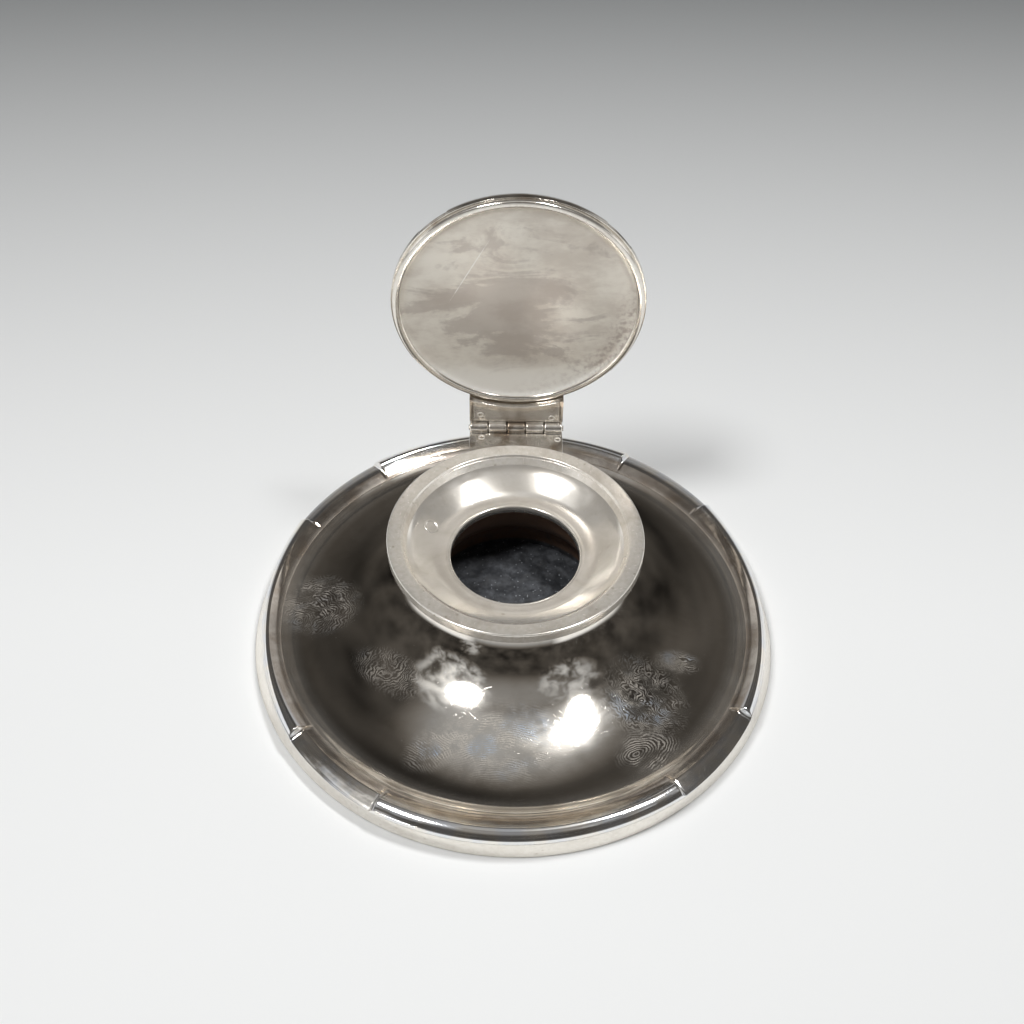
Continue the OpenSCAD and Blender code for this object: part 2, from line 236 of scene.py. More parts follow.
def rounded(corners, steps=7):
    """Closed outline through (x, y, fillet) corners. An arc of the fillet's radius, tangent to both
    sides, replaces each corner: it starts fillet / tan(half the corner's angle) before it."""
    xy = np.array([c[:2] for c in corners], float)
    parts = []
    for i, (point, fillet) in enumerate(zip(xy, (c[2] for c in corners))):
        back = xy[i - 1] - point
        ahead = xy[(i + 1) % len(xy)] - point
        back, ahead = back / np.hypot(*back), ahead / np.hypot(*ahead)
        half = 0.5 * math.acos(max(-1.0, min(1.0, float(back @ ahead))))
        if fillet <= 0.0 or half > 1.56:
            parts.append(point)
            continue
        middle = (back + ahead) / np.hypot(*(back + ahead))
        centre = point + middle * fillet / math.sin(half)
        start = point + back * fillet / math.tan(half) - centre
        end = point + ahead * fillet / math.tan(half) - centre
        a0 = math.atan2(start[1], start[0])
        sweep = math.remainder(math.atan2(end[1], end[0]) - a0, 2.0 * math.pi)
        a = a0 + sweep * np.linspace(0.0, 1.0, steps)
        parts.append(centre + fillet * np.stack([np.cos(a), np.sin(a)], 1))
    return joined(*parts)


def even(points, spacing, closed=True):
    """The same outline with long straight stretches cut into steps no longer than spacing, first and
    last step short, so that smooth shading stays flat there."""
    ends = np.roll(points, -1, axis=0) if closed else points[1:]
    parts = []
    for a, b in zip(points, ends):
        run = np.hypot(*(b - a))
        count = int(run / spacing) + 1
        t = np.arange(count) / count
        if count > 1:
            short = 0.06 * spacing / run
            t = np.concatenate([[0.0, short], t[1:], [1.0 - short]])
        parts.append(a + t[:, None] * (b - a))
    if not closed:
        parts.append(points[-1:])
    return np.concatenate(parts)


def through(points, count):
    """Smooth open curve through points: a cubic Hermite piece between each pair, whose tangents run
    parallel to the chord of the neighbours (Catmull-Rom)."""
    p = np.asarray(points, float)
    p = np.concatenate([2 * p[:1] - p[1:2], p, 2 * p[-1:] - p[-2:-1]])
    s = np.linspace(0.0, len(points) - 1.0, count)
    i = np.minimum(s.astype(int), len(points) - 2)
    t = (s - i)[:, None]
    a, b, c, d = p[i], p[i + 1], p[i + 2], p[i + 3]
    return 0.5 * (2 * b + (c - a) * t + (2 * a - 5 * b + 4 * c - d) * t ** 2
                  + (3 * b - a - 3 * c + d) * t ** 3)


def offset(points, distance):
    """Open curve moved sideways, to the right of its direction of travel, by distance."""
    along = np.gradient(points, axis=0)
    along /= np.linalg.norm(along, axis=1)[:, None]
    return points + distance * np.stack([along[:, 1], -along[:, 0]], 1)


# ---------------------------------------------------------------- surfaces

def turned(outline, columns=384):
    """Surface of revolution: x = r cos a, y = r sin a, z = z, for each (r, z) of the outline."""
    a = np.linspace(0.0, 2.0 * np.pi, columns, endpoint=False)
    r, z = outline[:, :1], outline[:, 1:]
    return np.stack([r * np.cos(a), r * np.sin(a), z + 0.0 * a], 2)


def turned_across(outline, y, z, columns=64):
    """Surface of revolution about a line along X at (y, z), for each (x, r) of the outline."""
    a = np.linspace(0.0, 2.0 * np.pi, columns, endpoint=False)
    x, r = outline[:, :1], outline[:, 1:]
    return np.stack([x + 0.0 * a, y + r * np.cos(a), z + r * np.sin(a)], 2)


def block(x_from, x_to, near, far, z_from, z_to, edge=0.2, stations=24):
    """Closed block across the hinge. Its cross-section at x is a rounded rectangle in y and z, from
    near(x) to far(x). At both ends it draws in along a quarter circle of radius edge, and the flat
    end shrinks to its own middle."""
    per_arc = 5
    shrinking = [0.97, 0.5, 0.0]
    quarter = np.radians(np.linspace(0.0, 90.0, per_arc))
    draw = np.concatenate([edge * (1 - np.cos(quarter)), [edge] * len(shrinking)])
    shrink = np.concatenate([np.ones(per_arc), shrinking])
    step_in = np.concatenate([edge * (1 - np.sin(quarter)), [0.0] * len(shrinking)])
    middle = np.linspace(x_from + edge, x_to - edge, stations)
    middle = np.concatenate([[middle[0] + 0.01], middle[1:-1], [middle[-1] - 0.01]])
    x = np.concatenate([(x_from + step_in)[::-1], middle, x_to - step_in])
    inset = np.concatenate([draw[::-1], np.zeros(stations), draw])[:, None]
    scale = np.concatenate([shrink[::-1], np.ones(stations), shrink])[:, None]
    low = near(x)[:, None]
    high = far(x)[:, None]
    corner = np.concatenate([np.radians(np.linspace(q, q + 90.0, per_arc))
                             for q in (0, 90, 180, 270)])
    held = np.clip(edge - inset, 0.01, None)
    sign_y = np.repeat([1.0, -1.0, -1.0, 1.0], per_arc)
    sign_z = np.repeat([1.0, 1.0, -1.0, -1.0], per_arc)
    half_y = (high - low) / 2 - inset - held
    half_z = (z_to - z_from) / 2 - inset - held
    y = (low + high) / 2 + scale * (half_y * sign_y + held * np.cos(corner))
    z = (z_from + z_to) / 2 + scale * (half_z * sign_z + held * np.sin(corner))
    y, z = with_guards(y, per_arc), with_guards(z, per_arc)
    return np.stack([x[:, None] + 0.0 * y, y, z], 2)


def with_guards(values, per_arc):
    """Adds a point just past each corner's arc and just before the next, along the straight side."""
    near = 0.03
    parts = []
    corners = values.shape[1] // per_arc
    for k in range(corners):
        bent = values[:, k * per_arc:(k + 1) * per_arc]
        following = values[:, [((k + 1) % corners) * per_arc]]
        end = bent[:, -1:]
        side = following - end
        parts += [bent, end + near * side, end + (1 - near) * side]
    return np.concatenate(parts, axis=1)


def swing(points, hinge_y, hinge_z):
    """A closed lid's points with the lid opened by a quarter turn about the hinge axis: what lay
    in front of the axis stands above it, and what lay above the axis goes behind it."""
    x, y, z = points[..., 0], points[..., 1], points[..., 2]
    return np.stack([x, hinge_y + (z - hinge_z), hinge_z - (y - hinge_y)], -1)


def ripples(x, y, waves, seed, shortest, longest):
    """Uneven surface, about -1 to 1: a sum of sine waves of seeded directions, phases and lengths,
    each as high as it is long."""
    draw = np.random.default_rng(seed)
    total = np.zeros_like(x)
    weight = 0.0
    for _ in range(waves):
        heading, phase = draw.uniform(0.0, 2.0 * np.pi, 2)
        wave = longest * (shortest / longest) ** draw.uniform()
        total += wave * np.sin((x * np.cos(heading) + y * np.sin(heading)) * 2 * np.pi / wave + phase)
        weight += wave
    return 2.0 * total / weight


def mesh_piece(name, grids, body, replaced, finish):
    """One object from closed grids of points in millimetres, rows x columns x 3. Columns run round, and
    rows run along, joined end to end unless they start and end in a point. It rides the body, stands
    for the replaced nodes and takes the finish of that name."""
    a_point = 1e-6
    points, quads, start = [], [], 0
    for grid in grids:
        rows, columns = grid.shape[:2]
        tips = np.ptp(grid[[0, -1]], axis=1).max() < a_point
        index = start + np.arange(rows * columns).reshape(rows, columns)
        if not tips:
            index = np.concatenate([index, index[:1]])
        here, ahead = index[:-1], index[1:]
        quads.append(np.stack([here, np.roll(here, -1, 1), np.roll(ahead, -1, 1), ahead],
                              -1).reshape(-1, 4))
        points.append(grid.reshape(-1, 3) * MM)
        start += rows * columns
    mesh = bpy.data.meshes.new(name)
    mesh.from_pydata(np.concatenate(points), [], np.concatenate(quads))
    work = bmesh.new()
    work.from_mesh(mesh)
    bmesh.ops.remove_doubles(work, verts=work.verts, dist=1e-7)
    bmesh.ops.dissolve_degenerate(work, edges=work.edges, dist=1e-8)
    bmesh.ops.recalc_face_normals(work, faces=work.faces)
    work.to_mesh(mesh)
    work.free()
    mesh.shade_smooth()
    mesh.materials.append(finish_of(finish))
    piece = bpy.data.objects.new(name, mesh)
    bpy.context.scene.collection.objects.link(piece)
    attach(piece, body)
    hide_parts(*replaced)


# ---------------------------------------------------------------- the shaped borders

# Azimuths round a border, before those at its steps.
BORDER_STATIONS = 720


def outline_r(azimuth, u, side_end, mid_r, end_r, stretch):
    """Outer radius of a border: on a long side it grows from mid_r to end_r with the square of u, on
    a panel it stays end_r, and cos 2a draws the whole outline out to front and back."""
    bow = np.minimum(np.abs(u) / side_end, 1.0) ** 2
    return mid_r + (end_r - mid_r) * bow - stretch * cosd(2.0 * azimuth)


def border_stations(side_end):
    """Azimuths from -180 to 180, closer together at the steps between sides and panels, and u, the
    signed angle from the middle of the nearest long side."""
    close_half, close_count = 1.5, 25
    even_turn = np.linspace(-180.0, 180.0, BORDER_STATIONS, endpoint=False)
    ends = np.concatenate([np.arange(-180, 180, 90) + side * side_end for side in (-1, 1)])
    close = (ends[:, None] + np.linspace(-close_half, close_half, close_count)[None]).ravel()
    azimuth = np.unique(np.round((np.concatenate([even_turn, close]) + 180.0) % 360.0, 4)) - 180.0
    return azimuth, (azimuth + 45.0) % 90.0 - 45.0


def border_grid(toe, outline, side_end, turn, long_top, short_top, inner, seat):
    """A border as one closed skin. At each azimuth the section runs over the top from the toe to the
    outer edge and back along the inner points: x runs from 0 at the toe to 1 at the edge, y is the
    height above the seat. The long sides' section turns into the panels' over a narrow step, with a
    short groove in the step."""
    step_turn, groove_turn, groove_depth = 0.9, 0.35, 0.22
    azimuth, u = border_stations(side_end)
    on = smooth((np.abs(u) - side_end) / step_turn + 0.5)[None]
    outer = outline_r(azimuth + turn, u, side_end, *outline)
    long_top, short_top = through(long_top, 64)[:, :, None], through(short_top, 64)[:, :, None]
    section = long_top * (1.0 - on) + short_top * on
    groove = np.exp(-((np.abs(u) - side_end) / groove_turn) ** 2)[None]
    crown = np.maximum(section[:, 1], 0.0)
    height = section[:, 1] - groove_depth * groove * crown * smooth(crown / 0.6)
    radius = toe + (outer - toe) * section[:, 0]
    inner = np.asarray(inner, float)[:, :, None] + 0.0 * azimuth
    radius = np.concatenate([radius, inner[:, 0]])
    height = np.concatenate([height, inner[:, 1]])
    a = azimuth + turn
    return np.stack([radius * cosd(a), radius * sind(a), seat + height], 2)


# ---------------------------------------------------------------- shader nodes

class Shader:
    """Nodes of one material or world. A value is a number, a colour, a vector or another node's
    output socket."""

    def __init__(self, owner):
        owner.use_nodes = True
        self.tree = owner.node_tree
        self.tree.nodes.clear()

    def put(self, socket, value):
        """Joins an output to a socket, or sets the socket's own value."""
        if isinstance(value, bpy.types.NodeSocket):
            self.tree.links.new(value, socket)
        elif socket.type == "RGBA" and len(value) == 3:
            socket.default_value = (*value, 1.0)
        else:
            socket.default_value = value

    def node(self, kind, inputs, output=0, **settings):
        """A new node with its settings and inputs, as its output socket."""
        made = self.tree.nodes.new("ShaderNode" + kind)
        for name, value in settings.items():
            setattr(made, name, value)
        for key, value in inputs.items():
            self.put(made.inputs[key], value)
        return made.outputs[output]

    def place(self):
        """Object coordinates, in metres."""
        return self.node("TexCoord", {}, "Object")

    def math(self, operation, a, b=0.0, c=0.0):
        """One step of arithmetic on numbers."""
        return self.node("Math", {0: a, 1: b, 2: c}, operation=operation)

    def product(self, a, b):
        """The product of two numbers."""
        return self.math("MULTIPLY", a, b)

    def vector(self, operation, a, b=(0, 0, 0), output=0):
        """One step of arithmetic on vectors."""
        return self.node("VectorMath", {0: a, 1: b}, output, operation=operation)

    def size_of(self, vector):
        """Length of a vector."""
        return self.vector("LENGTH", vector, output="Value")

    def along(self, vector, way):
        """Length of a vector's part along a way."""
        return self.vector("DOT_PRODUCT", vector, way, output="Value")

    def from_axis(self, place):
        """Distance from the stand's axis, in metres."""
        return self.size_of(self.vector("MULTIPLY", place, (1, 1, 0)))

    def mapped(self, place, centre=(0, 0, 0), heading=0.0, size=(1, 1, 1), lean=0.0):
        """Coordinates inside a patch: 0 at its centre, 1 at its size, turned by heading about Z and
        by lean about Y."""
        return self.node("Mapping", {"Vector": place, "Location": centre, "Scale": size,
                                     "Rotation": (0, math.radians(lean), math.radians(heading))},
                         vector_type="TEXTURE")

    def noise(self, place, size, detail=2.0, rough=0.5, bend=0.0):
        """Noise, 0 to 1, whose blotches are about size metres across."""
        return self.node("TexNoise", {"Vector": place, "Scale": 1.0 / size, "Detail": detail,
                                      "Roughness": rough, "Distortion": bend}, "Fac")

    def ramp(self, value, low, high, to_low=0.0, to_high=1.0):
        """Smooth step of value from low to high, as a number from to_low to to_high."""
        return self.node("MapRange", {"Value": value, "From Min": low, "From Max": high,
                                      "To Min": to_low, "To Max": to_high},
                         interpolation_type="SMOOTHSTEP")

    def mix(self, a, b, share):
        """Colour between a and b."""
        return self.node("Mix", {0: share, 6: a, 7: b}, 2, data_type="RGBA")

    def most(self, *values):
        """The largest of several numbers."""
        top = values[0]
        for value in values[1:]:
            top = self.math("MAXIMUM", top, value)
        return top

    def bump(self, height, distance, strength=1.0, normal=None):
        """Normal bent by a height, 0 to 1, that stands for distance metres."""
        inputs = {"Height": height, "Distance": distance, "Strength": strength}
        if normal is not None:
            inputs["Normal"] = normal
        return self.node("Bump", inputs)

    def surface(self, **inputs):
        """Principled shader and the material output."""
        names = {name.replace("_", " ").title().replace("Ior", "IOR"): value
                 for name, value in inputs.items()}
        shader = self.node("BsdfPrincipled", names, "BSDF")
        output = self.tree.nodes.new("ShaderNodeOutputMaterial")
        self.tree.links.new(shader, output.inputs["Surface"])


def new_finish(name):
    """A new material, its nodes and its Object coordinates."""
    material = bpy.data.materials.new(name)
    shader = Shader(material)
    return material, shader, shader.place()


def scratches(shader, place, heading, width_mm, run_mm, cover):
    """Mask of thin straight scratches: noise stretched along one heading, of which only the peaks
    are kept."""
    stretched = shader.mapped(place, (0, 0, 0), heading, (run_mm * MM, width_mm * MM, run_mm * MM))
    grain = shader.noise(stretched, 1.0, 2.0, 0.6)
    return shader.ramp(grain, 0.72 - cover, 0.80 - cover)


def specks(shader, place, size, cover):
    """Mask of small round specks: the cells of a Voronoi pattern close to their own centre, in the
    cells whose random number is low."""
    away = shader.node("TexVoronoi", {"Vector": place, "Scale": 1.0 / size, "Randomness": 1.0},
                       "Distance")
    chance = shader.node("SeparateColor", {"Color": away.node.outputs["Color"]}, 0)
    return shader.product(shader.ramp(away, 0.30, 0.16), shader.ramp(chance, cover, cover * 0.8))


def patch(shader, place, centre, size, heading=0.0, breakup=0.5):
    """Mask of one soft-edged oval patch, with an uneven edge. Centre and half sizes are in
    millimetres across the foot."""
    any_height = 100 * MM
    inside = shader.mapped(place, (centre[0] * MM, centre[1] * MM, 0), heading,
                           (size[0] * MM, size[1] * MM, any_height))
    uneven = shader.noise(place, 4.5 * MM, 4.0, 0.6)
    edge = shader.math("MULTIPLY_ADD", uneven, breakup, shader.size_of(inside))
    return shader.ramp(edge, 1.0 + breakup * 0.5, 0.45 + breakup * 0.5)


def ridges(shader, place, centre, spacing, heading=0.0, stretch=1.0, bend=1.0):
    """Skin ridges of a finger mark: rings about a centre, spacing millimetres apart and bent by slow
    noise, so that they arch and fan out. Stretch over 1 makes the rings long ovals."""
    local = shader.mapped(place, (centre[0] * MM, centre[1] * MM, 0), heading,
                          (stretch * spacing * MM, spacing * MM, 1.0))
    slow = shader.noise(place, 5.0 * MM, 2.0, 0.5)
    phase = shader.math("MULTIPLY_ADD", slow, 9.0 * bend, shader.size_of(local))
    wave = shader.math("SINE", shader.product(phase, 2.0 * math.pi))
    pores = shader.noise(place, 0.45 * MM, 1.0, 0.5)
    return shader.ramp(shader.math("MULTIPLY_ADD", pores, 2.2, wave), 0.55, 1.9)


# ---------------------------------------------------------------- finishes

def bright_silver(finish, name, roughness, brown=0.25, haze=0.1, dent_mm=0.06):
    """Polished silver with a film of tarnish in clouds, fine scratches and slow dents. Haze is the
    share of light that the worn surface scatters all round."""
    material, s, at = new_finish(name)
    clouds = s.noise(at, 9 * MM, 5.0, 0.6, 0.6)
    fine = s.noise(at, 1.2 * MM, 3.0, 0.6)
    stain = s.product(s.ramp(clouds, 0.45, 0.75), brown)
    pits = specks(s, at, 1.5 * MM, 0.10)
    marks = s.most(scratches(s, at, 20, 0.05, 3, 0.02), scratches(s, at, 105, 0.05, 3, 0.02))
    tone = s.mix(finish.silver, finish.film, s.ramp(fine, 0.35, 0.75, 0.0, 0.45))
    tone = s.mix(tone, finish.tarnish, s.most(stain, s.product(pits, 0.6)))
    rough = s.math("MULTIPLY_ADD", clouds, 0.08, roughness - 0.03)
    rough = s.math("MULTIPLY_ADD", marks, 0.22, rough)
    slow = s.bump(s.noise(at, 5 * MM, 1.0), dent_mm * MM)
    normal = s.bump(s.most(marks, pits), 0.004 * MM, 0.6, slow)
    s.surface(base_color=tone, metallic=1.0 - haze, roughness=rough, normal=normal)
    return material


def finger_marks(s, at):
    """Two masks of what hands left on the foot: the film of the ridges' lines, and the thin veil
    between them."""
    left = patch(s, at, (-57, 3), (15, 13), -10)
    smear = patch(s, at, (-34, -23), (15, 7), -38)
    front = patch(s, at, (-2, -45), (27, 15), 0, 0.7)
    front_left = patch(s, at, (-20, -46), (12, 8), 30)
    whorl = patch(s, at, (36, -46), (11, 9), 25)
    right = patch(s, at, (36, -30), (14, 16), 20, 0.7)
    fan = patch(s, at, (46, -17), (8, 5), 0)
    smudge = s.ramp(s.noise(at, 0.4 * MM, 3.0, 0.7), 0.52, 0.66)
    prints = [(left, ridges(s, at, (-62, -3), 0.62, 30, 1.5)),
              (smear, ridges(s, at, (-30, -14), 0.75, 60, 3.0)),
              (front, s.most(ridges(s, at, (-6, -78), 0.62, 0, 1.0, 0.35), smudge)),
              (front_left, ridges(s, at, (-34, -60), 0.66, 45, 1.0, 0.5)),
              (whorl, ridges(s, at, (33, -47), 0.60, 35, 1.7, 0.5)),
              (right, ridges(s, at, (60, -20), 0.7, -20, 1.3, 1.4)),
              (fan, ridges(s, at, (46, 30), 0.8, 5, 0.25, 1.2))]
    film = s.most(*[s.product(area, lines) for area, lines in prints])
    film = s.product(film, s.ramp(s.noise(at, 4.5 * MM, 5.0, 0.7), 0.40, 0.60, 0.2, 1.3))
    veil = s.product(s.most(left, smear, front, right, whorl),
                     s.ramp(s.noise(at, 5 * MM, 6.0, 0.75), 0.42, 0.75, 0.0, 0.25))
    return film, veil


def foot_silver(finish):
    """The foot: mirror-bright, brown towards the border, with finger marks, smears, dust and
    scratches. The film of the marks is rougher than the metal and a little bluish in places. The
    inside of the neck is stained brown."""
    material, s, at = new_finish("foot_silver")
    across = s.from_axis(at)
    rim = s.ramp(across, 60.5 * MM, 66.8 * MM)
    clouds = s.noise(at, 14 * MM, 4.0, 0.6, 0.5)
    film, veil = finger_marks(s, at)
    marks = s.most(scratches(s, at, 12, 0.045, 5, 0.0), scratches(s, at, 75, 0.045, 4, 0.0),
                   scratches(s, at, 140, 0.05, 6, 0.0))
    dust = s.ramp(s.noise(at, 0.7 * MM, 1.0, 0.5), 0.80, 0.86)
    blue = s.ramp(s.noise(at, 11 * MM, 2.0), 0.50, 0.66)
    cream_film, blue_film = (0.80, 0.74, 0.66), (0.56, 0.72, 0.95)
    tint = s.mix(cream_film, blue_film, blue)
    tone = s.mix(finish.silver, tint, s.math("MULTIPLY_ADD", film, 0.7, veil))
    tone = s.mix(tone, finish.film, s.ramp(clouds, 0.4, 0.8, 0.0, 0.6))
    tone = s.mix(tone, finish.tarnish, s.product(rim, s.ramp(clouds, 0.3, 0.7, 0.2, 0.55)))
    metal = s.math("MULTIPLY_ADD", film, -0.24, 1.0)
    metal = s.math("MULTIPLY_ADD", s.math("MULTIPLY_ADD", rim, 2.2, veil), -0.05, metal)
    metal = s.math("MULTIPLY_ADD", dust, -0.35, metal)
    rough = s.math("MULTIPLY_ADD", film, 0.05, finish.polish)
    rough = s.math("MULTIPLY_ADD", s.most(marks, dust), 0.12, rough)
    outward = s.vector("MULTIPLY", s.node("TexCoord", {}, "Normal"), (1, 1, 0))
    facing_out = s.along(outward, s.vector("NORMALIZE", at))
    inside = s.product(s.ramp(facing_out, 0.0, -0.04), s.ramp(across, 34 * MM, 30 * MM))
    tone = s.mix(tone, finish.rust, inside)
    metal = s.product(metal, s.math("SUBTRACT", 1.0, inside))
    rough = s.math("MULTIPLY_ADD", inside, 0.5, rough)
    slow = s.bump(s.noise(at, 16 * MM, 1.0), 0.03 * MM)
    normal = s.bump(s.most(film, marks, dust), 0.004 * MM, 0.6, slow)
    s.surface(base_color=tone, metallic=metal, roughness=rough, normal=normal)
    return material


def dish_silver(finish):
    """The dish: worn silver that has gone soft and grey, with cloudy tarnish, polish marks and small
    stains."""
    material, s, at = new_finish("dish_silver")
    mottle = 0.7
    clouds = s.noise(at, 12 * MM, 6.0, 0.62, 0.8)
    small = s.noise(at, 2.2 * MM, 5.0, 0.7)
    stains = specks(s, at, 3.2 * MM, 0.07)
    marks = s.most(scratches(s, at, 35, 0.06, 4, 0.02), scratches(s, at, 120, 0.06, 5, 0.01))
    tone = s.mix(finish.silver, finish.film, s.product(s.ramp(clouds, 0.35, 0.72), mottle))
    tone = s.mix(tone, finish.tarnish, s.product(s.ramp(small, 0.55, 0.85), 0.5 * mottle))
    tone = s.mix(tone, finish.tarnish, s.product(stains, 0.5))
    rough = s.math("MULTIPLY_ADD", clouds, 0.16, finish.satin - 0.19)
    rough = s.math("MULTIPLY_ADD", marks, 0.1, rough)
    slow = s.bump(s.noise(at, 7 * MM, 2.0), 0.05 * MM)
    normal = s.bump(s.most(marks, stains), 0.004 * MM, 0.5, slow)
    s.surface(base_color=tone, metallic=0.70, roughness=rough, normal=normal)
    return material


def border_silver(finish):
    """The foot's border: brown and a little dull in the hollow beside the foot, where polish never
    reaches, and bright with small dents from its ridge outwards."""
    material, s, at = new_finish("border_silver")
    across = s.from_axis(at)
    clouds = s.noise(at, 7 * MM, 5.0, 0.6, 0.3)
    hollow = s.ramp(across, 71.2 * MM, 69.8 * MM)
    toe = s.ramp(across, 68.5 * MM, 66.8 * MM)
    cool = (0.80, 0.83, 0.88)
    tone = s.mix(finish.silver, cool, s.ramp(clouds, 0.35, 0.65, 0.0, 0.8))
    tone = s.mix(tone, finish.tarnish, s.product(hollow, s.ramp(clouds, 0.3, 0.7, 0.5, 0.95)))
    grime = s.math("MULTIPLY_ADD", toe, 0.16, s.math("MULTIPLY_ADD", hollow, 0.05, 0.04))
    pits = s.ramp(s.noise(at, 0.6 * MM, 2.0, 0.6), 0.66, 0.76)
    rough = s.math("MULTIPLY_ADD", clouds, 0.06, 0.05)
    rough = s.math("MULTIPLY_ADD", s.most(toe, pits), 0.10, rough)
    slow = s.bump(s.noise(at, 6 * MM, 2.0), 0.04 * MM)
    normal = s.bump(pits, 0.004 * MM, 0.6, slow)
    s.surface(base_color=tone, metallic=s.math("SUBTRACT", 1.0, grime), roughness=rough,
              normal=normal)
    return material


def lining_silver(finish):
    """Inside of the lid: soft cream silver with brown-grey patches, purple-brown spots along the lower
    right edge and one long scratch. Its lower part is paler and less metallic: painted light from the
    pale floor below."""
    material, s, at = new_finish("lining_silver")
    middle_y, middle_z, disc_radius = 45.4, 83.4, 32.2
    cream, grey_cream, warm_grey = (0.90, 0.86, 0.78), (0.66, 0.60, 0.53), (0.43, 0.37, 0.33)
    # pale is the colour of the painted light on the lower part of the lining
    purple_brown, pale, scored = (0.32, 0.23, 0.20), (0.97, 0.95, 0.90), (0.95, 0.93, 0.88)

    def on_lid(x, z, half_x, half_z, lean=0.0):
        return s.mapped(at, (x * MM, middle_y * MM, (middle_z + z) * MM), 0.0,
                        (half_x * MM, 1.0, half_z * MM), lean)

    clouds = s.noise(s.mapped(at, size=(1.8, 1.0, 1.0)), 8 * MM, 6.0, 0.62, 0.12)
    small = s.noise(at, 1.5 * MM, 4.0, 0.65)
    patches = s.noise(s.mapped(at, size=(2.2, 1.0, 1.0)), 10 * MM, 7.0, 0.6, 0.9)
    torn = s.math("MULTIPLY_ADD", patches, 2.4, s.product(small, 0.3))
    brown = s.ramp(s.math("SUBTRACT", torn, s.size_of(on_lid(-2, 2, 42, 34))), 0.72, 1.0)
    disc = on_lid(0, 0, disc_radius, disc_radius)
    edge = s.ramp(s.size_of(disc), 0.72, 0.95)
    low_right = s.ramp(s.along(disc, (0.75, 0.0, -0.66)), 0.45, 0.80)
    spots = s.product(s.product(edge, low_right), s.ramp(small, 0.42, 0.66))
    # painted light: the lower part is made paler, less grey and less metallic, standing in for light
    # from the pale floor below
    low = s.ramp(s.along(disc, (0.0, 0.0, -1.0)), 0.55, 0.85)
    beside = s.size_of(on_lid(-13.2, 11.8, 0.16, 9.8, 28.0))
    scratch = s.ramp(s.math("MULTIPLY_ADD", small, 1.2, beside), 1.9, 1.2)
    grey = s.math("SUBTRACT", s.ramp(clouds, 0.35, 0.65, 0.15, 0.85), s.product(low, 0.6))
    tone = s.mix(cream, grey_cream, grey)
    tone = s.mix(tone, warm_grey, s.product(brown, 0.5))
    tone = s.mix(tone, purple_brown, s.product(spots, 0.55))
    # painted light from the pale floor on the lower part
    tone = s.mix(tone, pale, s.product(low, 0.7))
    tone = s.mix(tone, scored, scratch)
    # less metallic below, part of the same painted light
    metal = s.math("MULTIPLY_ADD", low, -0.3, 0.5)
    rough = s.math("MULTIPLY_ADD", clouds, 0.15, finish.satin + 0.04)
    slow = s.bump(s.noise(at, 8 * MM, 2.0), 0.06 * MM)
    normal = s.bump(s.math("MULTIPLY_ADD", scratch, 2.0, small), 0.02 * MM, 0.6, slow)
    s.surface(base_color=tone, metallic=metal, roughness=rough, normal=normal)
    return material


def cast_pitch(finish):
    """Cast filling: dark, lumpy and dusty, with fine pale specks. The wall of the ink well, above
    its floor, is brown."""
    material, s, at = new_finish("cast_pitch")
    lumps = s.noise(at, 3 * MM, 6.0, 0.7)
    grains = specks(s, at, 0.55 * MM, 0.10)
    dusty, pale_grain = (0.085, 0.09, 0.10), (0.62, 0.65, 0.70)
    tone = s.mix(finish.pitch, dusty, s.ramp(lumps, 0.40, 0.72))
    tone = s.mix(tone, pale_grain, s.product(grains, 0.8))
    wall = s.ramp(s.node("SeparateXYZ", {"Vector": at}, "Z"), 11.5 * MM, 13.0 * MM)
    tone = s.mix(tone, finish.rust, s.product(wall, s.ramp(lumps, 0.25, 0.6, 0.55, 1.0)))
    normal = s.bump(lumps, 0.35 * MM, 0.8)
    s.surface(base_color=tone, roughness=s.ramp(lumps, 0.3, 0.8, 0.55, 0.9), normal=normal)
    return material


def baize_cloth(finish):
    """Felted cloth: short crossed fibres, with a little sheen."""
    material, s, at = new_finish("baize_cloth")
    fibres = s.most(s.noise(s.mapped(at, size=(6, 1, 1)), 0.25 * MM, 2.0),
                    s.noise(s.mapped(at, heading=65, size=(6, 1, 1)), 0.25 * MM, 2.0))
    worn = s.noise(at, 16 * MM, 4.0, 0.6)
    tone = s.mix(finish.baize, [2.2 * c for c in finish.baize],
                 s.product(s.ramp(fibres, 0.45, 0.8), s.ramp(worn, 0.3, 0.7, 0.5, 1.0)))
    normal = s.bump(fibres, 0.2 * MM, 0.7)
    s.surface(base_color=tone, roughness=0.95, sheen_weight=0.3, sheen_roughness=0.5, normal=normal)
    return material


def board_wood(finish):
    """Plain board: long grain lines, bent by slow noise."""
    material, s, at = new_finish("board_wood")
    grain = s.noise(s.mapped(at, size=(14, 1, 1)), 1.1 * MM, 4.0, 0.6, 0.4)
    tone = s.mix(finish.board, [1.9 * c for c in finish.board], s.ramp(grain, 0.35, 0.7))
    s.surface(base_color=tone, roughness=0.72, normal=s.bump(grain, 0.15 * MM, 0.5))
    return material


def finish_of(name):
    """The material of that name, made on first use. The bright silvers are given by roughness,
    brown and haze, and the hinge's castings by deeper dents as well."""
    found = bpy.data.materials.get(name)
    if found:
        return found
    finish = bpy.context.scene.inkstand_finish
    bright = {"band_silver": (0.16, 0.20, 0.25), "lip_silver": (0.18, 0.35, 0.32),
              "lid_silver": (0.12, 0.25, 0.12), "hinge_silver": (0.22, 0.8, 0.35, 0.12),
              "moulding_silver": (0.11, 0.9, 0.04), "knuckle_silver": (0.12, 0.7, 0.25),
              "leaf_silver": (0.18, 1.5, 0.12), "rivet_silver": (0.25, 0.0, 0.4)}
    if name in bright:
        return bright_silver(finish, name, *bright[name])
    return {"foot_silver": foot_silver, "dish_silver": dish_silver, "border_silver": border_silver,
            "lining_silver": lining_silver, "cast_pitch": cast_pitch, "baize_cloth": baize_cloth,
            "board_wood": board_wood}[name](finish)


# ---------------------------------------------------------------- profiles of the stand

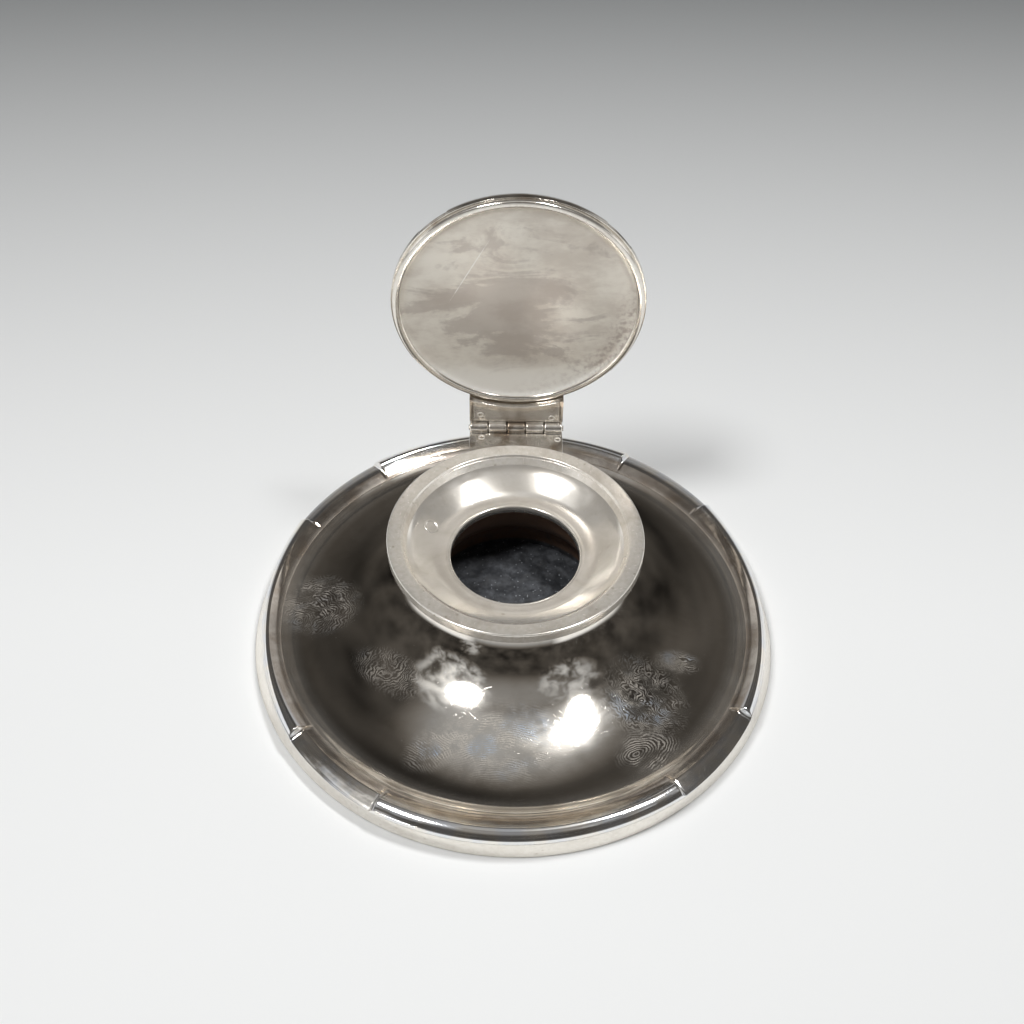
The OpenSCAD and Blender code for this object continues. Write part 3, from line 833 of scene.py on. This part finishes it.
def flat_edge(foot):
    """Radius where the flat foot ends and its bend up to the border starts, in millimetres."""
    return foot.border_radius - foot.border_width - foot.bend_run


def flare(foot, wall, count):
    """From the waist out to the flat of the foot: a quarter of a superellipse |x|^p + |y|^p = 1, taken
    at even directions from its centre, and moved inwards by the wall."""
    a = np.linspace(0.0, 90.0, count)
    x, y = cosd(a), sind(a)
    reach_out = (x ** foot.flare_power + y ** foot.flare_power) ** (-1.0 / foot.flare_power)
    flat = flat_edge(foot)
    r = flat - (flat - foot.waist_radius + wall) * x * reach_out
    z = foot.waist_height - (foot.waist_height - foot.flat_height + wall) * y * reach_out
    return np.stack([r, z], 1)


def bend(foot, wall, count):
    """From the flat of the foot up to the toe of the border: an arc that starts level and is as wide
    as its run and as high as its rise."""
    radius = (foot.bend_run ** 2 + foot.bend_rise ** 2) / (2.0 * foot.bend_rise)
    a = np.arcsin(foot.bend_run / radius) * np.linspace(0.0, 1.0, count)
    return np.stack([flat_edge(foot) + (radius + wall) * np.sin(a),
                     foot.flat_height + radius - (radius + wall) * np.cos(a)], 1)


def neck(foot, wall, top_z, count):
    """From the waist up to the dish: an arc of the neck's radius that starts upright."""
    radius = foot.neck_radius + wall
    a = np.arcsin((top_z - foot.waist_height) / radius) * np.linspace(1.0, 0.0, count)
    return np.stack([foot.waist_radius + foot.neck_radius - radius * np.cos(a),
                     foot.waist_height + radius * np.sin(a)], 1)


def arc(centre_r, centre_z, radius, a_from, a_to, count):
    """Arc about a centre, from one direction to another in degrees, 0 along r and 90 up."""
    a = np.linspace(a_from, a_to, count)
    return np.stack([centre_r + radius * cosd(a), centre_z + radius * sind(a)], 1)


def foot_levels(foot):
    """Height of the flange and of the underside of the border, in millimetres."""
    return foot.flat_height + foot.bend_rise, foot.flat_height + foot.bend_rise / 2


def foot_outline(foot):
    """What outline_r needs for the foot: the radius in the middle and at the end of a long side, and
    the stretch to front and back."""
    return foot.side_radius, foot.border_radius, foot.oval


def hinge_axis(dish, hinge):
    """The hinge axis's y and z, in millimetres."""
    return dish.lip_radius + hinge.axis_back, dish.lip_height - hinge.axis_drop


# ---------------------------------------------------------------- one operator for each group of pieces

class InkstandOperator:
    """What the operators share: one run of make with the scene's measures."""

    def execute(self, context):
        self.make(*measures(context))
        return {"FINISHED"}


class MakeFootShell(InkstandOperator, bpy.types.Operator):
    """Spin the neck, the flare, the flat foot and its flange in one sheet"""
    bl_idname = "inkstand.foot_shell"
    bl_label = "Foot shell"

    def make(self, foot, border, dish, hinge, lid):
        flange_z, _ = foot_levels(foot)
        flange_r = foot.border_radius - foot.flange_in
        under_z = dish.lip_height - dish.depth - dish.wall + 0.05
        outside = joined(neck(foot, 0.0, under_z, 24), flare(foot, 0.0, 150), bend(foot, 0.0, 24),
                         [flange_r - 0.1, flange_z])
        inside = joined(neck(foot, foot.sheet, under_z, 8), flare(foot, foot.sheet, 50),
                        bend(foot, foot.sheet, 8), [flange_r, flange_z - foot.sheet])
        outline = joined(outside, [flange_r, flange_z - 0.1], inside[::-1])
        mesh_piece("foot_shell_skin", [turned(outline, 320)], "stand", ["foot_shell"],
                   "foot_silver")


class MakeFootBorder(InkstandOperator, bpy.types.Operator):
    """Cast the shaped border that is soldered round the foot"""
    bl_idname = "inkstand.foot_border"
    bl_label = "Foot border"

    def make(self, foot, border, dish, hinge, lid):
        flange_z, drip_z = foot_levels(foot)
        flange_r = foot.border_radius - foot.flange_in + 0.1
        toe_r = foot.border_radius - foot.border_width
        drip = drip_z - flange_z
        roll = [(0, 0), (0.12, 0.36), (0.25, 0.85), (0.4, 1.55), (0.52, 2.15), (0.58, 2.47),
                (0.62, 2.6), (0.67, 2.57), (0.72, 2.49), (0.77, 2.35), (0.82, 2.16), (0.87, 1.91),
                (0.92, 1.6), (0.97, 1.22), (1, 0.95), (1, drip)]
        panel = [(0, 0), (0.1, 0.3), (0.2, 0.62), (0.3, 0.95), (0.38, 1.18), (0.42, 1.26),
                 (0.46, 1.22), (0.54, 1.08), (0.62, 0.91), (0.7, 0.72), (0.77, 0.54), (0.84, 0.36),
                 (0.9, 0.2), (0.96, 0.02), (1, -0.12), (1, drip)]
        grid = border_grid(toe_r, foot_outline(foot), 45.0 - border.panel_half, border.turn, roll,
                           panel, [(flange_r, drip), (flange_r, 0.0)], flange_z)
        mesh_piece("foot_border_casting", [grid], "stand", ["foot_border"],
                   "border_silver")


class MakeBase(InkstandOperator, bpy.types.Operator):
    """Make the band, the board, the baize and the cast filling"""
    bl_idname = "inkstand.base"
    bl_label = "Base"

    def make(self, foot, border, dish, hinge, lid):
        flange_z, drip_z = foot_levels(foot)
        side_end = 45.0 - border.panel_half
        azimuth, u = border_stations(side_end)
        a = azimuth + border.turn
        edge = outline_r(a, u, side_end, *foot_outline(foot))
        low_z, strip, flow, dent_depth = 0.3, 0.75, 1.3, 0.05
        up = np.linspace(0.0, 1.0, 40)[:, None]
        z = low_z + (drip_z - low_z) * up + 0.0 * a
        radius = edge + (foot.band_radius - edge) * (1.0 - up) ** flow
        dent = ripples(a * 1.3 + 0.0 * up, z * 2.0, 24, 5, 4.0, 30.0)
        radius = radius - dent_depth * (1.0 + dent)
        radius = np.concatenate([radius, radius[::-1] - strip])
        z = np.concatenate([z, z[::-1]])
        ring = np.stack([radius * cosd(a), radius * sind(a), z], 2)
        mesh_piece("base_band_strip", [ring], "stand", ["base_band"], "band_silver")

        pad_z, board_z = 1.2, 3.2
        board_r = foot.border_radius - 2.6
        pad_r = board_r + 1.2
        board = rounded([(0, pad_z, 0), (board_r, pad_z, 0.3), (board_r, board_z, 0.3),
                         (0, board_z, 0)])
        mesh_piece("base_board_disc", [turned(even(board, 3.0, False), 192)], "stand",
                   ["base_board"], "board_wood")
        pad = rounded([(0, 0, 0), (pad_r, 0, 0.4), (pad_r, pad_z, 0.4), (0, pad_z, 0)])
        mesh_piece("baize_pad_disc", [turned(even(pad, 3.0, False), 192)], "stand", ["baize_pad"],
                   "baize_cloth")

        wall = foot.sheet + 0.1
        under = flare(foot, wall, 160)
        rim_z = np.interp(foot.well_radius, under[:, 0], under[:, 1])
        under = under[under[:, 0] > foot.well_radius + 0.1]
        well = even(np.array([[foot.well_radius, rim_z], [foot.well_radius, foot.well_floor],
                              [0.0, foot.well_floor]]), 0.3, False)
        body = joined([0, board_z], [board_r - 0.2, board_z], [board_r - 0.8, 4.85],
                      [foot.border_radius - foot.flange_in - 0.1, flange_z - wall],
                      bend(foot, wall, 8)[::-1], under[::-1])
        grid = turned(joined(body, well), 240)
        x, y, z = grid[..., 0], grid[..., 1], grid[..., 2]
        lumps = 0.7 * ripples(x, y, 60, 3, 1.5, 9.0)
        hollow = 1.2 * np.exp(-((x + 1.5) ** 2 + (y + 3.0) ** 2) / 14.0)
        inside_well = smooth((foot.well_radius - np.hypot(x, y)) / 2.0)
        z += np.where(z > foot.well_floor - 0.01, inside_well * (lumps - hollow), 0.0)
        mesh_piece("base_filling_casting", [grid], "stand", ["base_filling"],
                   "cast_pitch")


def side_end_r(dish):
    """Radius where the side of the dish meets the lip's bead, in millimetres."""
    return dish.lip_radius - 5.5


def side_slopes(dish, r):
    """Slope of the dish at a radius, in degrees: it grows from 0 at the ledge, along straight lines
    between the low slope 4 outside it, the high slope 8.3 outside it and the rim slope at the lip."""
    ledge = dish.ledge_radius
    return np.interp(r, [ledge, ledge + 4.0, ledge + 8.3, side_end_r(dish)],
                     [0.0, dish.low_slope, dish.high_slope, dish.rim_slope])


def dish_side(dish, floor_z):
    """The side of the dish from its ledge to the lip: height is the sum of slope times step."""
    r = np.linspace(dish.ledge_radius, side_end_r(dish), 90)
    rise = np.tan(np.radians(side_slopes(dish, (r[1:] + r[:-1]) / 2.0))) * np.diff(r)
    return np.stack([r, floor_z + np.concatenate([[0.0], np.cumsum(rise)])], 1)


class MakeDish(InkstandOperator, bpy.types.Operator):
    """Make the dish, its lip and the plug in its side"""
    bl_idname = "inkstand.dish"
    bl_label = "Dish"

    def make(self, foot, border, dish, hinge, lid):
        top = dish.lip_height
        floor_z, seat_z, foot_z = top - dish.depth, top - 2.2, top - 3.0
        seat_r = dish.lip_radius - 1.1
        hole_z = floor_z - 0.2
        hole_foot_z = hole_z - 2.2
        edge, hole, wall = dish.lip_radius, dish.hole_radius, dish.wall
        side = dish_side(dish, floor_z)
        under = offset(side, wall)
        under = under[under[:, 1] > floor_z - wall + 0.1]
        outline = joined(
            [hole, hole_foot_z], [hole, hole_z - 0.45],
            arc(hole + 0.4, hole_z - 0.3, 0.4, 180.0, 60.0, 9),
            [hole + 0.9, hole_z + 0.05], [dish.ledge_radius - 0.1, floor_z],
            side, side[-1] + (0.6, 0.55), [seat_r, seat_z], [seat_r, foot_z], under[::-1],
            [dish.ledge_radius + 2.5, floor_z - wall], [hole + 0.8, floor_z - wall],
            [hole + 0.8, hole_foot_z])
        mesh_piece("dish_pan_bowl", [turned(outline, 384)], "stand", ["dish_pan"],
                   "dish_silver")

        end_r, end_z = side[-1]
        lip = rounded([(seat_r, seat_z, 0), (seat_r, foot_z, 0), (edge, foot_z, 0.2),
                       (edge, top, 0.45), (edge - 3.9, top - 0.25, 0.25),
                       (edge - 4.25, top - 0.85, 0.1), (edge - 4.4, top - 0.88, 0.1),
                       (end_r + 0.12, end_z + 0.12, 0.08), (end_r + 0.06, end_z + 0.02, 0.02),
                       (end_r + 0.8, seat_z, 0)])
        mesh_piece("dish_lip_ring", [turned(even(lip, 0.6), 384)], "stand", ["dish_lip"],
                   "lip_silver")

        plug_r = dish.plug_radius
        plug = rounded([(0, -1.1, 0), (plug_r, -1.1, 0.1), (plug_r, -0.1, 0), (plug_r + 0.6, -0.1, 0),
                        (plug_r + 0.55, 0.13, 0.1), (plug_r + 0.15, 0.16, 0.12),
                        (plug_r - 0.15, 0.04, 0.15), (0, 0.06, 0)])
        grid = turned(even(plug, 0.3, False), 48)
        tilt = side_slopes(dish, dish.plug_place)
        out = grid[..., 0] * cosd(tilt) - grid[..., 2] * sind(tilt) + dish.plug_place
        up = grid[..., 0] * sind(tilt) + grid[..., 2] * cosd(tilt)
        up = up + np.interp(dish.plug_place, side[:, 0], side[:, 1])
        turn = dish.plug_azimuth
        grid = np.stack([out * cosd(turn) - grid[..., 1] * sind(turn),
                         out * sind(turn) + grid[..., 1] * cosd(turn), up], 2)
        mesh_piece("dish_plug_disc", [grid], "stand", ["dish_plug"],
                   "dish_silver")


def knuckle(x_from, x_to, y, z, radius, bore):
    """One knuckle: a bored barrel with rounded ends, turned about the hinge axis."""
    edge = 0.32
    outline = rounded([(x_from, bore, 0.1), (x_from, radius, edge), (x_to, radius, edge),
                       (x_to, bore, 0.1)], 5)
    return turned_across(even(outline, 0.6), y, z)


def flat(value):
    """A straight side of a block, at the same y all along x."""
    return lambda x: np.full_like(x, value)


def round_side(radius):
    """A side of a block that follows a circle about the stand's axis."""
    return lambda x: np.sqrt(radius ** 2 - x ** 2)


# Middles of the two rivets through each leaf, x and y with the lid closed.
STAND_RIVETS = ((-10, 39.3), (12.1, 38.7))
LID_RIVETS = ((-10.4, 38.5), (10.3, 39.4))
RIVET_RADIUS = 0.95


def stud(x, y, z_from, z_to, radius):
    """A rivet: a short post whose head was closed with a punch, which left a rim round a hollow."""
    outline = rounded([(0, z_from, 0), (radius, z_from, 0.05), (radius, z_to, 0.1),
                       (radius * 0.7, z_to, 0.05), (radius * 0.6, z_to - 0.3, 0.1), (0, z_to - 0.3, 0)])
    grid = turned(outline, 40)
    grid[..., 0] += x
    grid[..., 1] += y
    return grid


def leaf_grids(first, hinge, axis_y, axis_z, near, half_width, z_from, z_to, bore):
    """A hinge leaf: its plate, its knuckles and the tongues that join them."""
    pitch = hinge.width / hinge.knuckles
    play, tongue_end = 0.18, axis_y - 1.25
    end_y = axis_y - hinge.barrel_radius - 0.2
    grids = [block(-half_width, half_width, round_side(near), flat(end_y), z_from, z_to, 0.12)]
    for k in range(first, hinge.knuckles, 2):
        start = -hinge.width / 2 + k * pitch + play
        end = start + pitch - 2 * play
        grids.append(knuckle(start, end, axis_y, axis_z, hinge.barrel_radius, bore))
        grids.append(block(start, end, flat(end_y - 0.4), flat(tongue_end), z_from, z_to, 0.08, 6))
    return grids


class MakeHinge(InkstandOperator, bpy.types.Operator):
    """Make the stand's half of the hinge, its pin and its rivets"""
    bl_idname = "inkstand.hinge"
    bl_label = "Hinge"

    def make(self, foot, border, dish, hinge, lid):
        axis_y, axis_z = hinge_axis(dish, hinge)
        half, edge = hinge.width / 2, dish.lip_radius
        leaf_under = axis_z - hinge.half_gap - hinge.leaf
        plate_end = axis_y - 2.2
        under_z, step_z, heel_z = axis_z - 3.3, axis_z - 2.1, axis_z - 2.3
        grids = [block(-half, half, round_side(edge + 0.02), flat(plate_end), step_z,
                       leaf_under - 0.02, 0.12),
                 block(-half, half, round_side(edge - 4.0), flat(plate_end), under_z, step_z, 0.12),
                 block(-half, half, flat(plate_end - 1.0), flat(axis_y + 4.0), under_z, heel_z, 0.2)]
        mesh_piece("hinge_bracket_casting", grids, "stand", ["hinge_bracket"],
                   "hinge_silver")
        grids = leaf_grids(0, hinge, axis_y, axis_z, edge + 0.05, half - 0.1, leaf_under,
                           axis_z - hinge.half_gap, hinge.pin_radius + 0.01)
        mesh_piece("hinge_leaf_plate", grids, "stand", ["hinge_leaf"],
                   "leaf_silver")
        grids = [stud(x, y, leaf_under - 1.0, axis_z - 0.12, RIVET_RADIUS) for x, y in STAND_RIVETS]
        mesh_piece("hinge_leaf_studs", grids, "stand", ["hinge_leaf_rivets"],
                   "rivet_silver")
        pin_end = half + 0.3
        pin = rounded([(-pin_end, 0, 0), (-pin_end, hinge.pin_radius, 0.25),
                       (pin_end, hinge.pin_radius, 0.25), (pin_end, 0, 0)])
        mesh_piece("hinge_pin_rod", [turned_across(even(pin, 1.0, False), axis_y, axis_z)], "stand",
                   ["hinge_pin"], "knuckle_silver")


class MakeLid(InkstandOperator, bpy.types.Operator):
    """Make the lid: its domed cap, shaped border, bezel and lining, and its half of the hinge"""
    bl_idname = "inkstand.lid"
    bl_label = "Lid"

    def make(self, foot, border, dish, hinge, lid):
        axis_y, axis_z = hinge_axis(dish, hinge)
        rim_z = dish.lip_height + 0.1
        seat_z = rim_z + lid.edge - 1.2
        wall_r = lid.radius - 1.4
        cap_r = wall_r - 2.5

        def lid_piece(name, grids, replaced, finish):
            grids = [swing(grid, axis_y, axis_z) for grid in grids]
            mesh_piece(name, grids, "lid", [replaced], finish)

        ball = (cap_r ** 2 + lid.dome ** 2) / (2.0 * lid.dome)
        top = math.degrees(math.asin(cap_r / ball))
        centre = seat_z + lid.dome - ball
        outline = joined(arc(0, centre, ball, 90.0, 90.0 - top, 60), [wall_r, seat_z],
                         [wall_r, seat_z - foot.sheet],
                         arc(0, centre, ball - foot.sheet, 90.0 - top, 90.0, 40))
        lid_piece("lid_cap_dome", [turned(outline, 320)], "lid_cap", "lid_silver")

        roll = [(0, 2.3), (0.03, 2.7), (0.2, 3.25), (0.45, 3.4), (0.7, 3.05), (0.9, 2.3), (1, 1.4),
                (1, 0.7), (1, 0.05), (0.97, 0)]
        panel = [(0, 2.3), (0.05, 2.5), (0.25, 2.8), (0.45, 2.75), (0.68, 2.4), (0.89, 1.8),
                 (0.98, 1.2), (0.98, 0.6), (0.98, 0.05), (0.95, 0)]
        foot_z = rim_z + 1.4
        ends_r = lid.radius + border.lid_swell
        grid = border_grid(cap_r + 0.1, (lid.radius, ends_r, 0.0), 45.0 - border.lid_panel_half,
                           border.turn, roll, panel,
                           [(wall_r + 0.1, 0.0), (wall_r + 0.1, seat_z - foot_z)], foot_z)
        lid_piece("lid_border_casting", [grid], "lid_border", "moulding_silver")

        recess_z = rim_z + 1.2
        lining_r = lid.radius - 2.6
        face = through([(lining_r - 2.4, recess_z), (lining_r - 1.4, recess_z - 0.06),
                        (lining_r - 0.6, recess_z - 0.25), (lining_r - 0.05, recess_z - 0.6)], 24)
        outline = joined(even(np.array([[0, recess_z], [lining_r - 2.45, recess_z]]), 0.6, False), face,
                         [lining_r, recess_z - 0.6], [lining_r, recess_z + 0.2],
                         [lining_r - 2, recess_z + 0.6], [0, recess_z + 0.6])
        lid_piece("lid_lining_plate", [turned(outline, 320)], "lid_lining",
                  "lining_silver")

        bezel_r = lid.radius - 0.5
        outline = rounded([(lining_r, seat_z - foot.sheet, 0), (lining_r, rim_z + 0.05, 0.7),
                           (lining_r + 1.2, rim_z, 1.5), (bezel_r, rim_z + 0.15, 0.7),
                           (bezel_r, foot_z, 0), (wall_r, foot_z, 0),
                           (wall_r, seat_z - foot.sheet, 0)], 10)
        lid_piece("lid_bezel_ring", [turned(even(outline, 0.6), 384)], "lid_bezel",
                  "lid_silver")

        half = hinge.width / 2
        leaf_top = axis_z + hinge.half_gap + hinge.leaf
        heel_z = leaf_top + 1.0
        top_z = heel_z + 1.6
        plate_end = axis_y - 2.2
        cheek = 1.1
        grids = [block(-half, half, round_side(ends_r + 0.02), flat(plate_end), leaf_top, top_z, 0.2),
                 block(-half, half, flat(plate_end - 1.0), flat(axis_y + 2.2), heel_z, top_z, 0.2)]
        grids += [block(start, start + cheek, round_side(dish.lip_radius + 0.2), flat(plate_end),
                        axis_z + hinge.half_gap, leaf_top + 0.3, 0.12, 8)
                  for start in (-half, half - cheek)]
        lid_piece("lid_bracket_casting", grids, "lid_bracket", "hinge_silver")
        grids = leaf_grids(1, hinge, axis_y, axis_z, dish.lip_radius + 0.2, half - cheek - 0.05,
                           axis_z + hinge.half_gap, leaf_top, hinge.pin_radius + 0.05)
        lid_piece("lid_leaf_plate", grids, "lid_leaf", "knuckle_silver")
        grids = [stud(x, y, -2.0, -0.12, RIVET_RADIUS) * (1, 1, -1) + (0, 0, axis_z)
                 for x, y in LID_RIVETS]
        lid_piece("lid_leaf_studs", grids, "lid_leaf_rivets", "rivet_silver")


# ---------------------------------------------------------------- studio

# The lamps: azimuth, height, two sizes of the oval in metres, and its turn.
LAMPS = {"lamp_left": (-118.0, 67.0, 0.22, 0.18, 0.0),
         "lamp_right": (80.0, 72.0, 0.27, 0.10, 32.0)}

# The room's soft glows: azimuth, height, half angle of the full glow, half angle where it ends, and
# strength.
GLOWS = ((-108, 60, 5, 28, 0.62), (115, 60, 4, 26, 0.4), (60, 76, 4, 16, 0.8),
         (-131, 24, 4, 17, 0.36), (-100, 47, 4, 15, 0.45))


def floor_finish(studio):
    """Pale floor whose colour holds painted shade: it turns grey behind the stand and a little towards
    the camera, in place of the light falling off there.
    """
    material, s, at = new_finish("studio_floor")
    # painted shade: the floor's colour turns grey with distance behind the stand, in place of the light
    # falling off there
    painted_shade_reach = 0.45
    far_painted_shade, near_painted_shade = (0.215, 0.225, 0.23), (0.45, 0.46, 0.47)
    back = s.node("SeparateXYZ", {"Vector": at}, "Y")
    share = s.math("POWER", s.product(back, 1.0 / painted_shade_reach), 1.3)
    tone = s.mix(studio.floor, far_painted_shade, share)
    # painted shade: a little grey towards the camera as well
    tone = s.mix(tone, near_painted_shade, s.ramp(back, -0.10, -0.36, 0.0, 0.30))
    s.surface(base_color=tone, roughness=0.8, specular_ior_level=0.2)
    return material


def toward(azimuth, height):
    """Unit vector from the stand, azimuth from +Y towards +X, height above the horizon."""
    return Vector((float(sind(azimuth) * cosd(height)), float(cosd(azimuth) * cosd(height)),
                   float(sind(height))))


def room_light(world):
    """The room as a function of direction: pale just above the floor and most of all at both sides,
    dark higher up, a little lighter straight overhead, and with soft uneven glows."""
    s = Shader(world)
    way = s.node("TexCoord", {}, "Generated")
    parts = s.tree.nodes.new("ShaderNodeSeparateXYZ")
    s.put(parts.inputs[0], way)
    x, y, z = parts.outputs

    uneven = s.ramp(s.noise(way, 0.13, 4.0, 0.65, 0.6), 0.36, 0.64, 0.12, 1.35)

    def glow(azimuth, height, core, end, strength):
        near = s.along(way, toward(azimuth, height))
        share = s.ramp(near, float(cosd(end)), float(cosd(core)))
        return s.product(s.math("POWER", share, 1.7), s.product(uneven, strength))

    aside = s.ramp(s.math("ABSOLUTE", x), 0.60, 0.85)
    sweep = s.product(s.ramp(z, 0.35, 0.27, 0.0, 0.90), aside)
    horizon = s.ramp(z, 0.40, 0.08, 0.0, 0.46)
    above = s.product(s.ramp(z, 0.86, 0.99, 0.0, 0.33), s.ramp(y, -0.14, -0.02, 0.55, 1.0))
    in_front = s.product(s.ramp(y, 0.1, -0.25), s.ramp(z, 0.74, 0.95, 0.0, 0.22))
    dim = s.math("MULTIPLY_ADD", s.noise(way, 0.22, 2.0), 0.15, -0.03)
    light = s.most(dim, sweep, horizon, above, in_front, *[glow(*each) for each in GLOWS])
    tint = s.mix((1.0, 0.90, 0.80), (1.0, 1.0, 1.0), s.ramp(light, 0.05, 0.30))
    background = s.node("Background", {"Color": tint, "Strength": light})
    output = s.tree.nodes.new("ShaderNodeOutputWorld")
    s.tree.links.new(background, output.inputs["Surface"])


def soft_lamp(name, studio, azimuth, height, size_x, size_y, turn):
    """Oval area lamp aimed at the stand, azimuth from +Y towards +X, turned about its own beam."""
    lamp = bpy.data.lights.new(name, "AREA")
    lamp.shape = "ELLIPSE"
    lamp.size = size_x
    lamp.size_y = size_y
    lamp.energy = studio.lamp_power
    holder = bpy.data.objects.new(name, lamp)
    bpy.context.scene.collection.objects.link(holder)
    way = toward(azimuth, height)
    aim = way.to_track_quat("Z", "Y").to_matrix().to_4x4()
    holder.matrix_world = (Matrix.Translation(way * studio.lamp_distance) @ aim
                           @ Matrix.Rotation(math.radians(turn), 4, "Z"))


def lay_floor(scene, studio):
    """A flat round floor, kept out of the stand's own size."""
    mesh = bpy.data.meshes.new("studio_floor")
    a = np.linspace(0.0, 2.0 * np.pi, 96, endpoint=False)
    rim = studio.floor_radius * np.stack([np.cos(a), np.sin(a), 0.0 * a], 1)
    mesh.from_pydata(rim, [], [list(range(96))])
    mesh.materials.append(floor_finish(studio))
    floor = bpy.data.objects.new("studio_floor", mesh)
    scene.collection.objects.link(floor)


def set_camera(scene, studio):
    """The camera, from its place and its three turns."""
    pitch, yaw, roll = studio.camera_pitch, studio.camera_yaw, studio.camera_roll
    forward = Vector((math.sin(yaw) * math.cos(pitch), math.cos(yaw) * math.cos(pitch),
                      -math.sin(pitch)))
    right = forward.cross(Vector((0, 0, 1))).normalized()
    up = right.cross(forward)
    x_axis = right * math.cos(roll) + up * math.sin(roll)
    y_axis = up * math.cos(roll) - right * math.sin(roll)
    camera = bpy.data.cameras.new("front_camera")
    camera.sensor_width = 36.0
    camera.lens = studio.camera_lens
    camera.clip_start = 0.01
    holder = bpy.data.objects.new("front_camera", camera)
    scene.collection.objects.link(holder)
    turn = Matrix((x_axis, y_axis, -forward)).transposed().to_4x4()
    holder.matrix_world = Matrix.Translation(studio.camera_place) @ turn
    scene.camera = holder


class MakeStage(bpy.types.Operator):
    """Lay the floor, hang the lamps and set up the camera"""
    bl_idname = "inkstand.stage"
    bl_label = "Stage"

    def execute(self, context):
        scene = context.scene
        studio = scene.inkstand_studio
        lay_floor(scene, studio)
        scene.world = bpy.data.worlds.new("studio_room")
        room_light(scene.world)
        for name, values in LAMPS.items():
            soft_lamp(name, studio, *values)
        set_camera(scene, studio)
        scene.view_settings.view_transform = "Standard"
        return {"FINISHED"}


OPERATORS = (MakeFootShell, MakeFootBorder, MakeBase, MakeDish, MakeHinge, MakeLid, MakeStage)


class InkstandPanel(bpy.types.Panel):
    """Buttons and sizes of the inkstand"""
    bl_idname = "VIEW3D_PT_inkstand"
    bl_label = "Inkstand"
    bl_space_type = "VIEW_3D"
    bl_region_type = "UI"
    bl_category = "Inkstand"

    def draw(self, context):
        for operator in OPERATORS:
            self.layout.operator(operator.bl_idname)
        for name, group in GROUPS.items():
            box = self.layout.box()
            for key in group.__annotations__:
                box.prop(getattr(context.scene, name), key)


def register():
    """Registers the groups, the operators and the panel, and hangs the groups on the scene."""
    for name, group in GROUPS.items():
        bpy.utils.register_class(group)
        setattr(bpy.types.Scene, name, PointerProperty(type=group))
    for each in (*OPERATORS, InkstandPanel):
        bpy.utils.register_class(each)


def unregister():
    """Takes back what register did."""
    for each in (InkstandPanel, *reversed(OPERATORS)):
        bpy.utils.unregister_class(each)
    for name, group in reversed(GROUPS.items()):
        delattr(bpy.types.Scene, name)
        bpy.utils.unregister_class(group)


def main():
    """Makes every piece and the stage."""
    register()
    for operator in OPERATORS:
        group, name = operator.bl_idname.split(".")
        getattr(getattr(bpy.ops, group), name)()


if __name__ == "__main__":
    main()
